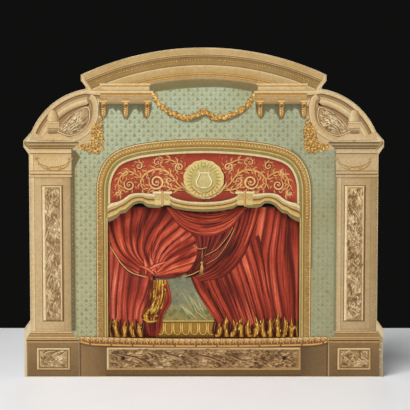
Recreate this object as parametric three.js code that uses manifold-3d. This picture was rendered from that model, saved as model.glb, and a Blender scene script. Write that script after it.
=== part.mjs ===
// A table-top toy theatre of about 1900: a die-cut card front with a stage opening, nailed to a low
// wooden stage box, with a curtain card that slides up in grooved posts and two folding card wings.
// Millimetres, +Z up, front towards -Y. The origin is under the middle of the whole object.

import * as THREE from 'three';
import { mergeVertices } from 'three/addons/utils/BufferGeometryUtils.js';
import Module from 'manifold-3d';

const wasm = await Module();
wasm.setup();

// Whole object
const overallDepth = 200;
const seatGap = 0.2; // glue line or bare seat between pieces that touch
const overrun = 2; // how far a cutter runs past the face it opens

// Card front, from the table up
const boardThickness = 3;
const plinthWidth = 492;
const plinthHeight = 66.5;
const plinthSlopeHeight = 12.5;
const shaftWidth = 474.4;
const shaftHeight = 226.4;
const corniceWidth = 489;
const corniceUndercut = 10.1;
const corniceEdge = 8.5;
const corniceCoveHeight = 12.5;
const shoulderFootWidth = 467;
const shoulderHeight = 57.5;
const shoulderRadius = 97;
const gableNeckWidth = 319.4;
const gableNeckHeight = 3;
const gableSlopeHeight = 8.3;
const gableWidth = 332;
const gableEdge = 7.7;
const gableRise = 36.5;

// Stage opening in the card front
const openingWidth = 261.8;
const sillHeight = 50;
const valanceFootHeight = 213.5; // where the valance meets the sides of the opening
const valanceDrop = 27.1; // from its highest notch down to its feet

// Lower edge of the valance, as curves from the side to the middle.
// Each point is a share of the opening's half width and a share of the valance's drop.
const valanceFootShares = [[1, 0], [0.955, 0.08], [0.904, 0.225], [0.869, 0.413]];
const valanceArchShares = [[0.813, 0.465], [0.772, 0.664], [0.73, 0.852], [0.675, 0.952], [0.632, 0.937]];
const valancePendantShares = [[0.605, 0.815], [0.577, 0.749], [0.52, 0.725], [0.458, 0.727], [0.43, 0.815]];
const valanceNotchShares = [[0.42, 0.967], [0.392, 1], [0.361, 0.867], [0.312, 0.701]];
const valanceMiddleShares = [[0.208, 0.598], [0.1, 0.54], [0, 0.528]];

// Gilt strip across the foot of the opening
const stripLength = 340;
const stripThickness = 1;
const stripMiddleBottom = 40.9; // above the table
const stripMiddleHeight = 14.1;
const stripEndHeight = 9;
const stripTopSag = 5;
const scallopWidth = 8.1;
const scallopRise = 1.2;

// Posts behind the front, each with two beads that form the curtain's groove
const uprightHeight = 397;
const uprightWidth = 26;
const uprightDepth = 14;
const uprightSetback = 0.6; // inner face behind the edge of the opening
const frontBeadDepth = 3.4;
const grooveWidth = 2.4;
const grooveDepth = 9.3;

// Head batten across the backs of the posts
const battenHeight = 18;
const battenThickness = 8;
const battenTopMargin = 3; // below the tops of the posts

// Stage box
const railHeight = 48;
const railThickness = 12;
const cornerBlockLeg = 14;
const cornerBlockMargin = 4; // from its ends to the table and to the boards
const floorThickness = 4;
const floorBoards = 4;
const puppetGap = 6; // between the floor boards, for puppet wires and scenery

// Curtain card and its laths
const curtainThickness = 1.2;
const curtainSideClearance = 0.8;
const curtainFloorClearance = 0.4;
const curtainShortfall = 6.6; // its top edge below the valance's highest notch
const tabWidth = 34;
const tabHeight = 20;
const lathHeight = 9;
const lathThickness = 3;
const lathInset = 6; // from its ends to the posts
const lathMargin = 10; // from the card's top edge, and from its foot

// Folding wings with cloth tape hinges
const wingThickness = 2.5;
const wingHeight = 277;
const wingInset = 0.5; // outer face inside the posts' outer faces
const wingFloorClearance = 0.6;
const wingMeetingClearance = 20.5; // from a folded wing's edge to the middle
const wingCornerRadius = 40;
const wingFrontClearance = 1.2; // room for two thicknesses of tape
const tapeThickness = 0.4;
const tapeLegWidth = 11;
const tapeMargin = 9; // from its ends to the wing's ends

// Nails. sink is how deep a head is let into its face, and zero where it stands proud.
const facadeNail = { shankRadius: 0.8, headRadius: 2.1, headHeight: 1.3, length: 13, tip: 2.4, sink: 0 };
const boxNail = { shankRadius: 0.8, headRadius: 1.9, headHeight: 1.1, length: 24, tip: 2.4, sink: 0 };
const brad = { shankRadius: 0.6, headRadius: 1.5, headHeight: 0.8, length: 14, tip: 1.8, sink: 1.1 };
const nailClearance = 0.35;
const nailRimShare = 1 / 3; // straight rim of a head, as a share of its height
const facadeNailX = 110.5;
const facadeNailHeight = 26.4;
const railNailShares = [0.2, 0.65]; // heights, as shares of a rail's height
const boardNailInset = 6; // from a board's end to its nail
const frontBoardNailX = 100;
const frontBoardNailShare = 0.78; // how far back it stands on the front rail, clear of the curtain

// Numbers of facets
const arcSteps = 14;
const curveSteps = 5;
const nailSides = 8;
const domeSteps = 2;
const pointsPerScallop = 4;

// Levels and planes that follow from the sizes above
const frontY = -overallDepth / 2;
const facadeFrontY = frontY + facadeNail.headHeight + seatGap;
const facadeBackY = facadeFrontY + boardThickness;
const frameFrontY = facadeBackY + seatGap;
const uprightBackY = frameFrontY + uprightDepth;
const boxBackY = overallDepth / 2 - boxNail.headHeight - seatGap;
const uprightInnerX = openingWidth / 2 + uprightSetback;
const uprightOuterX = uprightInnerX + uprightWidth;
const floorBottomZ = railHeight + seatGap;
const floorTopZ = floorBottomZ + floorThickness;
const valanceTopZ = valanceFootHeight + valanceDrop;
const grooveFrontY = frameFrontY + frontBeadDepth;
const curtainY = grooveFrontY + grooveWidth / 2;
const wingBottomZ = floorTopZ + wingFloorClearance;

function finish(color, roughness, metalness = 0) {
  return new THREE.MeshStandardMaterial({ color, roughness, metalness });
}

const printedCard = finish(0xc8ad80, 0.6);
const giltCard = finish(0xc39650, 0.5);
const curtainPrint = finish(0x9b4432, 0.6);
const wingCard = finish(0x9a9a78, 0.85);
const pine = finish(0xb48a58, 0.7);
const tapeCloth = finish(0x8a7350, 0.95);
const darkSteel = finish(0x2b2724, 0.45, 0.8);

// Turns a geometry into a solid that can be cut.
function toSolid(geometry) {
  const bare = geometry.clone();
  bare.deleteAttribute('normal');
  bare.deleteAttribute('uv');
  const merged = mergeVertices(bare);
  return new wasm.Manifold(new wasm.Mesh({
    numProp: 3,
    vertProperties: Float32Array.from(merged.attributes.position.array),
    triVerts: Uint32Array.from(merged.index.array),
  }));
}

function toGeometry(solid) {
  const { vertProperties, triVerts } = solid.getMesh();
  const geometry = new THREE.BufferGeometry();
  geometry.setAttribute('position', new THREE.BufferAttribute(Float32Array.from(vertProperties), 3));
  geometry.setIndex(new THREE.BufferAttribute(Uint32Array.from(triVerts), 1));
  geometry.computeVertexNormals();
  return geometry;
}

function piece(name, geometry, material) {
  const mesh = new THREE.Mesh(geometry, material);
  mesh.name = name;
  return mesh;
}

// A squared bar between two corners.
function bar(name, low, high, material) {
  const size = new THREE.Vector3().subVectors(high, low);
  const mesh = piece(name, new THREE.BoxGeometry(size.x, size.y, size.z), material);
  mesh.position.copy(low).addScaledVector(size, 0.5);
  return mesh;
}

// A flat outline in X and Z that stands upright, from frontFaceY back by its thickness.
function standingSheet(name, outline, frontFaceY, thickness, material) {
  const geometry = new THREE.ExtrudeGeometry(outline, { depth: thickness, bevelEnabled: false });
  const mesh = piece(name, geometry, material);
  mesh.rotation.x = Math.PI / 2;
  mesh.position.y = frontFaceY + thickness;
  return mesh;
}

// Points of the arc with this radius from one point to another. It bulges to the left of the way.
function arcPoints(from, to, radius) {
  const chord = new THREE.Vector2().subVectors(to, from);
  const across = new THREE.Vector2(chord.y, -chord.x).normalize();
  const centreDistance = Math.sqrt(radius * radius - chord.lengthSq() / 4);
  const centre = new THREE.Vector2().addVectors(from, to).multiplyScalar(0.5);
  centre.addScaledVector(across, centreDistance);
  const startAngle = Math.atan2(from.y - centre.y, from.x - centre.x);
  const sweep = 2 * Math.asin(chord.length() / (2 * radius));
  const points = [];
  for (let i = 1; i < arcSteps; i++) {
    const angle = startAngle - (sweep * i) / arcSteps;
    points.push(new THREE.Vector2(Math.cos(angle), Math.sin(angle)).multiplyScalar(radius).add(centre));
  }
  return [...points, to];
}

// Closes a right-hand edge, listed from bottom to top, with its own mirror image.
function mirroredOutline(rightEdge) {
  const leftEdge = rightEdge.filter((point) => point.x > 0).reverse();
  const mirrored = leftEdge.map((point) => new THREE.Vector2(-point.x, point.y));
  return new THREE.Shape([...rightEdge, ...mirrored]);
}

function facadeEdge() {
  const at = (width, z) => new THREE.Vector2(width / 2, z);
  const shaftFoot = plinthHeight + plinthSlopeHeight;
  const corniceFoot = shaftFoot + shaftHeight;
  const corniceEdgeFoot = corniceFoot + corniceUndercut;
  const coveFoot = corniceEdgeFoot + corniceEdge;
  const shoulderFoot = coveFoot + corniceCoveHeight;
  const gableFoot = shoulderFoot + shoulderHeight;
  const gableSlopeFoot = gableFoot + gableNeckHeight;
  const gableEdgeFoot = gableSlopeFoot + gableSlopeHeight;
  const gableTip = at(gableWidth, gableEdgeFoot + gableEdge);
  const apex = at(0, gableTip.y + gableRise);
  const gableRadius = (gableTip.x * gableTip.x + gableRise * gableRise) / (2 * gableRise);
  const neckFoot = at(gableNeckWidth, gableFoot);
  return [
    at(plinthWidth, 0),
    at(plinthWidth, plinthHeight),
    at(shaftWidth, shaftFoot),
    at(shaftWidth, corniceFoot),
    at(corniceWidth, corniceEdgeFoot),
    at(corniceWidth, coveFoot),
    ...arcPoints(neckFoot, at(shoulderFootWidth, shoulderFoot), shoulderRadius).reverse(),
    neckFoot,
    at(gableNeckWidth, gableSlopeFoot),
    at(gableWidth, gableEdgeFoot),
    ...arcPoints(apex, gableTip, gableRadius).reverse(),
    apex,
  ];
}

// The valance's lower edge from the side of the opening to its middle.
function valanceEdge() {
  const toPoint = ([xShare, zShare]) =>
    new THREE.Vector2((xShare * openingWidth) / 2, valanceFootHeight + zShare * valanceDrop);
  const curves = [
    valanceFootShares,
    valanceArchShares,
    valancePendantShares,
    valanceNotchShares,
    valanceMiddleShares,
  ];
  return curves.flatMap((shares) =>
    new THREE.SplineCurve(shares.map(toPoint)).getPoints(curveSteps * (shares.length - 1)));
}

function facadeBoard() {
  const outline = mirroredOutline(facadeEdge());
  outline.holes.push(mirroredOutline([new THREE.Vector2(openingWidth / 2, sillHeight), ...valanceEdge()]));
  return standingSheet('facade_board', outline, facadeFrontY, boardThickness, printedCard);
}

// A strip that hangs in a shallow curve, with a row of small scallops along its top.
function footlightStrip() {
  const halfLength = stripLength / 2;
  const bottomSag = stripMiddleHeight + stripTopSag - stripEndHeight;
  const bottomAt = (x) => stripMiddleBottom + bottomSag * (x / halfLength) ** 2;
  const topAt = (x) => stripMiddleBottom + stripMiddleHeight + stripTopSag * (x / halfLength) ** 2;
  const scallops = Math.round(halfLength / scallopWidth);
  const topSteps = scallops * pointsPerScallop;
  const edge = [];
  for (let i = 0; i <= arcSteps; i++) {
    const x = (halfLength * i) / arcSteps;
    edge.push(new THREE.Vector2(x, bottomAt(x)));
  }
  for (let i = topSteps; i >= 0; i--) {
    const x = (halfLength * i) / topSteps;
    const rise = scallopRise * Math.sin((Math.PI * (i % pointsPerScallop)) / pointsPerScallop);
    edge.push(new THREE.Vector2(x, topAt(x) + rise));
  }
  const stripFrontY = facadeFrontY - seatGap - stripThickness;
  return standingSheet('footlight_strip', mirroredOutline(edge), stripFrontY, stripThickness, giltCard);
}

// A round nail driven into a face at the given point, with its shank running inwards.
function nail(name, kind, point, inward) {
  const { shankRadius, headRadius, headHeight, length, tip } = kind;
  const profile = [
    new THREE.Vector2(0, -length),
    new THREE.Vector2(shankRadius, tip - length),
    new THREE.Vector2(shankRadius, 0),
    new THREE.Vector2(headRadius, 0),
  ];
  const rimHeight = nailRimShare * headHeight;
  for (let i = 0; i <= domeSteps; i++) {
    const angle = (Math.PI / 2) * (i / domeSteps);
    const x = i === domeSteps ? 0 : headRadius * Math.cos(angle);
    profile.push(new THREE.Vector2(x, rimHeight + (headHeight - rimHeight) * Math.sin(angle)));
  }
  const mesh = piece(name, new THREE.LatheGeometry(profile, nailSides), darkSteel);
  mesh.quaternion.setFromUnitVectors(new THREE.Vector3(0, -1, 0), inward);
  mesh.position.copy(point).addScaledVector(inward, kind.sink - seatGap);
  mesh.userData.kind = kind;
  return mesh;
}

// The cutters for a nail: its bore, and the recess of a head that is let in.
function nailCutters(mesh) {
  const { shankRadius, headRadius, length, sink } = mesh.userData.kind;
  const boreRadius = shankRadius + nailClearance;
  const bore = new THREE.CylinderGeometry(boreRadius, boreRadius, length + 2 * overrun, nailSides);
  bore.translate(0, -length / 2, 0);
  const cutters = [bore];
  if (sink > 0) {
    const recessRadius = headRadius + nailClearance;
    const recess = new THREE.CylinderGeometry(recessRadius, recessRadius, sink + overrun, nailSides);
    recess.translate(0, (sink + overrun) / 2 - seatGap, 0);
    cutters.push(recess);
  }
  mesh.updateMatrixWorld();
  return cutters.map((cutter) => cutter.applyMatrix4(mesh.matrixWorld));
}

// Cuts a piece wherever a nail passes through it.
function drill(mesh, nails) {
  mesh.updateMatrixWorld();
  const toLocal = mesh.matrixWorld.clone().invert();
  const bounds = new THREE.Box3().setFromObject(mesh);
  let solid = toSolid(mesh.geometry);
  for (const cutter of nails.flatMap(nailCutters)) {
    cutter.computeBoundingBox();
    if (cutter.boundingBox.intersectsBox(bounds)) {
      solid = solid.subtract(toSolid(cutter.applyMatrix4(toLocal)));
    }
  }
  mesh.geometry = toGeometry(solid);
}

// Both sides of a piece that comes as a mirrored pair. side is 1 on the right and -1 on the left.
const sides = [['left', -1], ['right', 1]];

// A bar given for the right-hand side, set on either side.
function sideBar(name, side, low, high, material) {
  const [nearX, farX] = side > 0 ? [low.x, high.x] : [-high.x, -low.x];
  return bar(
    name,
    new THREE.Vector3(nearX, low.y, low.z),
    new THREE.Vector3(farX, high.y, high.z),
    material,
  );
}

// A post and the two beads in front of and behind the curtain's groove.
function uprightPieces(sideName, side) {
  const beadOuterX = uprightInnerX + grooveDepth;
  const grooveBackY = grooveFrontY + grooveWidth;
  const at = (x, y, z) => new THREE.Vector3(x, y, z);
  return [
    sideBar(`${sideName}_upright`, side, at(beadOuterX + seatGap, frameFrontY, 0),
      at(uprightOuterX, uprightBackY, uprightHeight), pine),
    sideBar(`${sideName}_front_bead`, side, at(uprightInnerX, frameFrontY, floorTopZ + seatGap),
      at(beadOuterX, grooveFrontY, uprightHeight), pine),
    sideBar(`${sideName}_rear_bead`, side, at(uprightInnerX, grooveBackY, floorTopZ + seatGap),
      at(beadOuterX, uprightBackY, uprightHeight), pine),
  ];
}

function headBatten() {
  const topZ = uprightHeight - battenTopMargin;
  const nearY = uprightBackY + seatGap;
  return bar(
    'head_batten',
    new THREE.Vector3(-uprightOuterX, nearY, topZ - battenHeight),
    new THREE.Vector3(uprightOuterX, nearY + battenThickness, topZ),
    pine,
  );
}

// The four rails of the stage box.
function boxRails() {
  const postInnerX = uprightInnerX + grooveDepth + seatGap;
  const frontRailX = postInnerX - seatGap;
  const sideRailFrontY = uprightBackY + seatGap;
  const rearRailFrontY = boxBackY - railThickness;
  const rails = [
    bar('front_rail', new THREE.Vector3(-frontRailX, frameFrontY, 0),
      new THREE.Vector3(frontRailX, frameFrontY + railThickness, railHeight), pine),
    bar('rear_rail', new THREE.Vector3(-uprightOuterX, rearRailFrontY, 0),
      new THREE.Vector3(uprightOuterX, boxBackY, railHeight), pine),
  ];
  for (const [sideName, side] of sides) {
    rails.push(sideBar(`${sideName}_side_rail`, side,
      new THREE.Vector3(uprightOuterX - railThickness, sideRailFrontY, 0),
      new THREE.Vector3(uprightOuterX, rearRailFrontY - seatGap, railHeight), pine));
  }
  return rails;
}

// A three-sided block glued between a post's back and the side rail's inner face.
function cornerBlock(sideName, side) {
  const cornerX = side * (uprightOuterX - railThickness - seatGap);
  const cornerY = uprightBackY + seatGap;
  const outline = new THREE.Shape([
    new THREE.Vector2(cornerX, cornerY),
    new THREE.Vector2(cornerX, cornerY + cornerBlockLeg),
    new THREE.Vector2(cornerX - side * cornerBlockLeg, cornerY),
  ]);
  const depth = railHeight - 2 * cornerBlockMargin;
  const geometry = new THREE.ExtrudeGeometry(outline, { depth, bevelEnabled: false });
  const mesh = piece(`${sideName}_corner_block`, geometry, pine);
  mesh.position.z = cornerBlockMargin;
  return mesh;
}

const stageFrontY = frameFrontY;
const boardDepth = (boxBackY - stageFrontY - (floorBoards - 1) * puppetGap) / floorBoards;

// One floor board. The first is notched round the posts.
function stageBoard(index) {
  const nearY = stageFrontY + index * (boardDepth + puppetGap);
  const farY = nearY + boardDepth;
  const notchX = uprightInnerX + grooveDepth;
  const notchY = uprightBackY + seatGap;
  const rightEdge = index === 0
    ? [[notchX, nearY], [notchX, notchY], [uprightOuterX, notchY], [uprightOuterX, farY]]
    : [[uprightOuterX, nearY], [uprightOuterX, farY]];
  const outline = mirroredOutline(rightEdge.map(([x, y]) => new THREE.Vector2(x, y)));
  const geometry = new THREE.ExtrudeGeometry(outline, { depth: floorThickness, bevelEnabled: false });
  const mesh = piece(`stage_board_${index + 1}`, geometry, pine);
  mesh.position.z = floorBottomZ;
  return mesh;
}

// The curtain card, with a rounded tab at the top to pull it up by.
function curtainCard() {
  const halfWidth = uprightInnerX + grooveDepth - curtainSideClearance;
  const footZ = floorTopZ + curtainFloorClearance;
  const topZ = valanceTopZ - curtainShortfall;
  const tabRadius = tabWidth / 2;
  const edge = [
    new THREE.Vector2(halfWidth, footZ),
    new THREE.Vector2(halfWidth, topZ),
    new THREE.Vector2(tabRadius, topZ),
  ];
  for (let i = 0; i <= arcSteps; i++) {
    const angle = (Math.PI / 2) * (i / arcSteps);
    const x = i === arcSteps ? 0 : tabRadius * Math.cos(angle);
    const foot = tabHeight - tabRadius;
    edge.push(new THREE.Vector2(x, topZ + foot + tabRadius * Math.sin(angle)));
  }
  const frontFaceY = curtainY - curtainThickness / 2;
  return standingSheet('curtain_card', mirroredOutline(edge), frontFaceY, curtainThickness, curtainPrint);
}

function curtainLath(name, bottomZ) {
  const halfLength = uprightInnerX - lathInset;
  const nearY = curtainY + curtainThickness / 2 + seatGap;
  return bar(
    name,
    new THREE.Vector3(-halfLength, nearY, bottomZ),
    new THREE.Vector3(halfLength, nearY + lathThickness, bottomZ + lathHeight),
    pine,
  );
}

function curtainPieces() {
  return [
    curtainCard(),
    curtainLath('curtain_top_lath', valanceTopZ - curtainShortfall - lathMargin - lathHeight),
    curtainLath('curtain_bottom_lath', floorTopZ + curtainFloorClearance + lathMargin),
  ];
}

// A card wing that stands straight back from its post, with its rear top corner rounded.
function wing(sideName, side) {
  const innerX = uprightOuterX - wingInset - wingThickness;
  const length = innerX - wingMeetingClearance;
  const corner = new THREE.Vector2(length - wingCornerRadius, wingHeight - wingCornerRadius);
  const outline = new THREE.Shape();
  outline.moveTo(0, 0);
  outline.lineTo(length, 0);
  outline.lineTo(length, corner.y);
  outline.absarc(corner.x, corner.y, wingCornerRadius, 0, Math.PI / 2);
  outline.lineTo(0, wingHeight);
  const geometry = new THREE.ExtrudeGeometry(outline, {
    depth: wingThickness,
    bevelEnabled: false,
    curveSegments: arcSteps,
  });
  geometry.rotateX(Math.PI / 2);
  geometry.rotateZ(Math.PI / 2);
  const mesh = piece(`${sideName}_wing`, geometry, wingCard);
  const lowX = side > 0 ? innerX : -innerX - wingThickness;
  mesh.position.set(lowX, uprightBackY + wingFrontClearance, wingBottomZ);
  return mesh;
}

// An angle of cloth tape, one leg on the post's back and the other on the wing's inner face.
function wingTape(sideName, side) {
  const innerX = uprightOuterX - wingInset - wingThickness - seatGap;
  const nearY = uprightBackY + seatGap;
  const wingY = uprightBackY + wingFrontClearance;
  const points = [
    [innerX - tapeLegWidth, nearY],
    [innerX, nearY],
    [innerX, wingY + tapeLegWidth],
    [innerX - tapeThickness, wingY + tapeLegWidth],
    [innerX - tapeThickness, nearY + tapeThickness],
    [innerX - tapeLegWidth, nearY + tapeThickness],
  ];
  const outline = new THREE.Shape(points.map(([x, y]) => new THREE.Vector2(side * x, y)));
  const depth = wingHeight - 2 * tapeMargin;
  const mesh = piece(
    `${sideName}_wing_tape`,
    new THREE.ExtrudeGeometry(outline, { depth, bevelEnabled: false }),
    tapeCloth,
  );
  mesh.position.z = wingBottomZ + tapeMargin;
  return mesh;
}

// The two nails that show on the front, into the front rail.
function facadeNails() {
  const inward = new THREE.Vector3(0, 1, 0);
  return sides.map(([sideName, side]) =>
    nail(`${sideName}_facade_nail`, facadeNail,
      new THREE.Vector3(side * facadeNailX, facadeFrontY, facadeNailHeight), inward));
}

// Nails through the rear rail into the side rails, and through the posts into the front rail.
function railNails() {
  const nails = [];
  for (const [sideName, side] of sides) {
    railNailShares.forEach((share, index) => {
      const z = share * railHeight;
      const rearPoint = new THREE.Vector3(side * (uprightOuterX - railThickness / 2), boxBackY, z);
      const forward = new THREE.Vector3(0, -1, 0);
      nails.push(nail(`${sideName}_rear_nail_${index + 1}`, boxNail, rearPoint, forward));
      const postPoint = new THREE.Vector3(side * uprightOuterX, frameFrontY + railThickness / 2, z);
      const towardsMiddle = new THREE.Vector3(-side, 0, 0);
      nails.push(nail(`${sideName}_post_nail_${index + 1}`, boxNail, postPoint, towardsMiddle));
    });
  }
  return nails;
}

// Brads that hold the head batten to the posts.
function battenBrads() {
  const inward = new THREE.Vector3(0, -1, 0);
  const x = (uprightInnerX + grooveDepth + uprightOuterX) / 2;
  const y = uprightBackY + seatGap + battenThickness;
  const z = uprightHeight - battenTopMargin - battenHeight / 2;
  return sides.map(([sideName, side]) =>
    nail(`${sideName}_batten_brad`, brad, new THREE.Vector3(side * x, y, z), inward));
}

// Brads that hold the floor boards: the first to the front rail, the others to the side rails.
function boardBrads() {
  const down = new THREE.Vector3(0, 0, -1);
  const brads = [];
  for (let index = 0; index < floorBoards; index++) {
    const nearY = stageFrontY + index * (boardDepth + puppetGap);
    const y = index === 0 ? frameFrontY + frontBoardNailShare * railThickness : nearY + boardDepth / 2;
    const x = index === 0 ? frontBoardNailX : uprightOuterX - boardNailInset;
    for (const [sideName, side] of sides) {
      const point = new THREE.Vector3(side * x, y, floorTopZ);
      brads.push(nail(`${sideName}_board_brad_${index + 1}`, brad, point, down));
    }
  }
  return brads;
}

function group(meshes) {
  const result = new THREE.Group();
  result.add(...meshes);
  return result;
}

function buildTheatre() {
  const nails = [...facadeNails(), ...railNails(), ...battenBrads(), ...boardBrads()];
  const front = [facadeBoard(), footlightStrip()];
  const posts = [...sides.flatMap(([sideName, side]) => uprightPieces(sideName, side)), headBatten()];
  const box = [...boxRails(), ...sides.map(([sideName, side]) => cornerBlock(sideName, side))];
  for (let index = 0; index < floorBoards; index++) {
    box.push(stageBoard(index));
  }
  for (const mesh of [front[0], ...posts, ...box]) {
    drill(mesh, nails);
  }
  const wings = sides.flatMap(([sideName, side]) => [wing(sideName, side), wingTape(sideName, side)]);
  const theatre = new THREE.Group();
  theatre.add(group(front), group(posts), group(box), group(curtainPieces()), group(wings), group(nails));
  return theatre;
}

export default buildTheatre();
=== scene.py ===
import math
import random

import bpy
import numpy as np
from bpy.props import FloatProperty, FloatVectorProperty, PointerProperty
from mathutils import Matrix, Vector


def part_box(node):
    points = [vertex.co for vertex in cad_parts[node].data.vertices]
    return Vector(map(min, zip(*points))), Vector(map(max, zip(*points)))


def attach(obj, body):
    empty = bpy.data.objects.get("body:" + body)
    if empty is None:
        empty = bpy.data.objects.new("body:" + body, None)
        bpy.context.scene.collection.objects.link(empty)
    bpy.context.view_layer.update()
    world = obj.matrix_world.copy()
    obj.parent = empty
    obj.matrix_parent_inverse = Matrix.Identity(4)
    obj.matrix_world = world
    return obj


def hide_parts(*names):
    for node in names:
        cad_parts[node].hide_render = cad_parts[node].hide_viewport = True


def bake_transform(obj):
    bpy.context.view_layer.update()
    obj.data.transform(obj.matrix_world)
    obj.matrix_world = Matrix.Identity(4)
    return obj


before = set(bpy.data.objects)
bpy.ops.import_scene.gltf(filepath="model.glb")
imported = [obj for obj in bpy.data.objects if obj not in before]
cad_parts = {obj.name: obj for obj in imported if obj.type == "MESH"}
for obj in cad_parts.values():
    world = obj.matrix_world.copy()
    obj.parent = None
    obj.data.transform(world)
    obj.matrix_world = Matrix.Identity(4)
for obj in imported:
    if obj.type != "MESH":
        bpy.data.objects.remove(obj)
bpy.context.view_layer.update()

bl_info = {
    "name": "Toy theatre looks",
    "version": (1, 0, 0),
    "blender": (4, 5, 0),
    "location": "3D View > Sidebar > Toy Theatre",
    "description": "Prints, woods and cloth of a table-top toy theatre, and its stage for a picture",
    "category": "Object",
}

# Outlines and places in the prints are in millimetres, across (x) and up (z), and so are the table's sizes.
# Settings, what the trees are given, and the places of lights and camera are in metres.
MM = 0.001
TAU = 2 * math.pi
LEVELS = 220  # films in one layer before their planes repeat
LEVEL_SPAN = 0.9  # share of a layer that those films take up
SHEET_SHIFT = 53  # films by which a sheet's first plane is moved on from the last sheet's
ROW_BEND = 0.2  # how far a film's rows may bend before its back gets as many points as its front
ON_FACE = 0.05  # how far a point may lie from a CAD face and still count as on it
THIN_END = 0.12  # width of a stroke's ends, as a share of its full width
STEPS_PER_TURN = 14  # points on one turn of a scroll
MAP_MARGIN = 0.01  # clear edge round a print's flat map
SIDES = (("left", -1), ("right", 1))

# Inks, as screen values from 0 to 255
CREAM = (205, 176, 130)
PALE = (226, 200, 152)
TAN = (184, 153, 107)
UMBER = (150, 115, 74)
DARK_UMBER = (98, 70, 40)
LINE = (96, 66, 34)
GILT = (190, 146, 78)
BRIGHT_GILT = (232, 190, 112)
DARK_GILT = (134, 92, 38)
CRIMSON = (182, 66, 42)
DARK_CRIMSON = (112, 34, 24)
PLINTH = (128, 99, 62)


def box_mm(node):
    """Lowest and highest corner of a CAD node, in millimetres."""
    low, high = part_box(node)
    return np.array(low) / MM, np.array(high) / MM


WALL_FACE = box_mm("facade_board")[0][1]
CURTAIN_FACE = box_mm("curtain_card")[0][1]
STRIP_LOW, STRIP_HIGH = box_mm("footlight_strip")


def sizes():
    """The settings that the panel shows."""
    return bpy.context.scene.toy_theatre


def mix(first, second, share):
    """An ink between two inks."""
    return tuple(a + (b - a) * share for a, b in zip(first, second))


def darker(ink, share):
    """The ink with so much of its light left."""
    return tuple(value * share for value in ink)


def tones(inks, share):
    """Inks along a row of inks, at shares from 0 to 1."""
    table = np.array(inks, float)
    places = np.clip(share, 0, 1) * (len(table) - 1)
    return np.stack([np.interp(places, np.arange(len(table)), table[:, k]) for k in range(3)], axis=-1)


def linear(values):
    """Scene-linear values of inks given from 0 to 255."""
    screen = np.clip(np.asarray(values, float) / 255, 0, 1)
    return np.where(screen <= 0.04045, screen / 12.92, ((screen + 0.055) / 1.055) ** 2.4)


def rgba(ink):
    """An ink as the value of a colour socket."""
    return (*linear(ink), 1)


# Outlines


def front_loops(node, face_y):
    """Closed outlines of a CAD node's flat front, in millimetres, the widest first."""
    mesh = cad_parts[node].data
    mesh.calc_loop_triangles()
    keys = {}
    for vertex in mesh.vertices:
        if abs(vertex.co.y / MM - face_y) < ON_FACE:
            keys[vertex.index] = (round(vertex.co.x / MM * 100), round(vertex.co.z / MM * 100))
    edges = set()
    for triangle in mesh.loop_triangles:
        if not all(i in keys for i in triangle.vertices):
            continue
        corners = [keys[i] for i in triangle.vertices]
        for edge in zip(corners, corners[1:] + corners[:1]):
            if edge[::-1] in edges:
                edges.remove(edge[::-1])
            else:
                edges.add(edge)
    following = dict(edges)
    loops = []
    while following:
        start, here = following.popitem()
        loop = [start]
        while here != start:
            loop.append(here)
            here = following.pop(here)
        loops.append(np.array(loop) / 100)
    return sorted(loops, key=lambda loop: -np.ptp(loop[:, 0]))


def smooth(points, steps=6):
    """A curve through the points, with so many steps between two of them."""
    given = np.asarray(points, float)
    ends = np.vstack([2 * given[0] - given[1], given, 2 * given[-1] - given[-2]])
    share = np.linspace(0, 1, steps, endpoint=False)[:, None]
    stretches = []
    for a, b, c, d in zip(ends, ends[1:], ends[2:], ends[3:]):
        bend = 2 * b + (c - a) * share + (2 * a - 5 * b + 4 * c - d) * share**2
        stretches.append((bend + (3 * b - a - 3 * c + d) * share**3) / 2)
    return np.vstack(stretches + [given[-1:]])


def resample(points, count):
    """So many points at even steps along a line."""
    line = np.asarray(points, float)
    run = np.concatenate([[0], np.cumsum(np.linalg.norm(np.diff(line, axis=0), axis=1))])
    places = np.linspace(0, run[-1], count)
    return np.column_stack([np.interp(places, run, line[:, k]) for k in (0, 1)])


def beside(path, offsets):
    """Lines beside a path, to the left of its travel by each offset, with mitred corners."""
    line = np.asarray(path, float)
    step = np.diff(line, axis=0)
    step /= np.linalg.norm(step, axis=1)[:, None]
    normal = np.column_stack([-step[:, 1], step[:, 0]])
    before, after = np.vstack([normal[:1], normal]), np.vstack([normal, normal[-1:]])
    mitre = before + after
    mitre /= np.maximum((mitre * before).sum(1), 0.5)[:, None]
    return line[:, None, :] + mitre[:, None, :] * np.asarray(offsets, float)[None, :, None]


def toward(angle):
    """A step of one in a direction in radians, or a row of such steps."""
    return np.stack([np.cos(angle), np.sin(angle)], axis=-1)


def even_angles(count):
    """So many angles at even steps once round."""
    return np.linspace(0, TAU, count, endpoint=False)


def spiral(centre, radius, turns, start, handed=1):
    """A scroll that winds inwards from its rim, drawn from the given angle in degrees."""
    share = np.linspace(0, 1, int(STEPS_PER_TURN * turns) + 2)
    reach = radius * (1 - share) ** 0.8 + 0.4
    return centre + reach[:, None] * toward(math.radians(start) + handed * share * turns * TAU)


def mirrored(points, side):
    """Points drawn for the right-hand side, on the side given by its sign."""
    return np.asarray(points, float) * (side, 1)


def sided(path, side):
    """A right-hand path on its side, turned round on the left so that inward stays inward."""
    return mirrored(path, side)[::side]


def across(side, near, far):
    """The left and the right end of a stretch that is drawn for the right-hand side."""
    return sorted((near * side, far * side))


def both_halves(half):
    """A line from the right over its last point, on the middle, to the left."""
    return half + [(-x, z) for x, z in reversed(half[:-1])]


def rectangle(low, high):
    """The corners of an upright rectangle, from its lower left."""
    return np.array([low, (high[0], low[1]), high, (low[0], high[1])], float)


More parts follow.
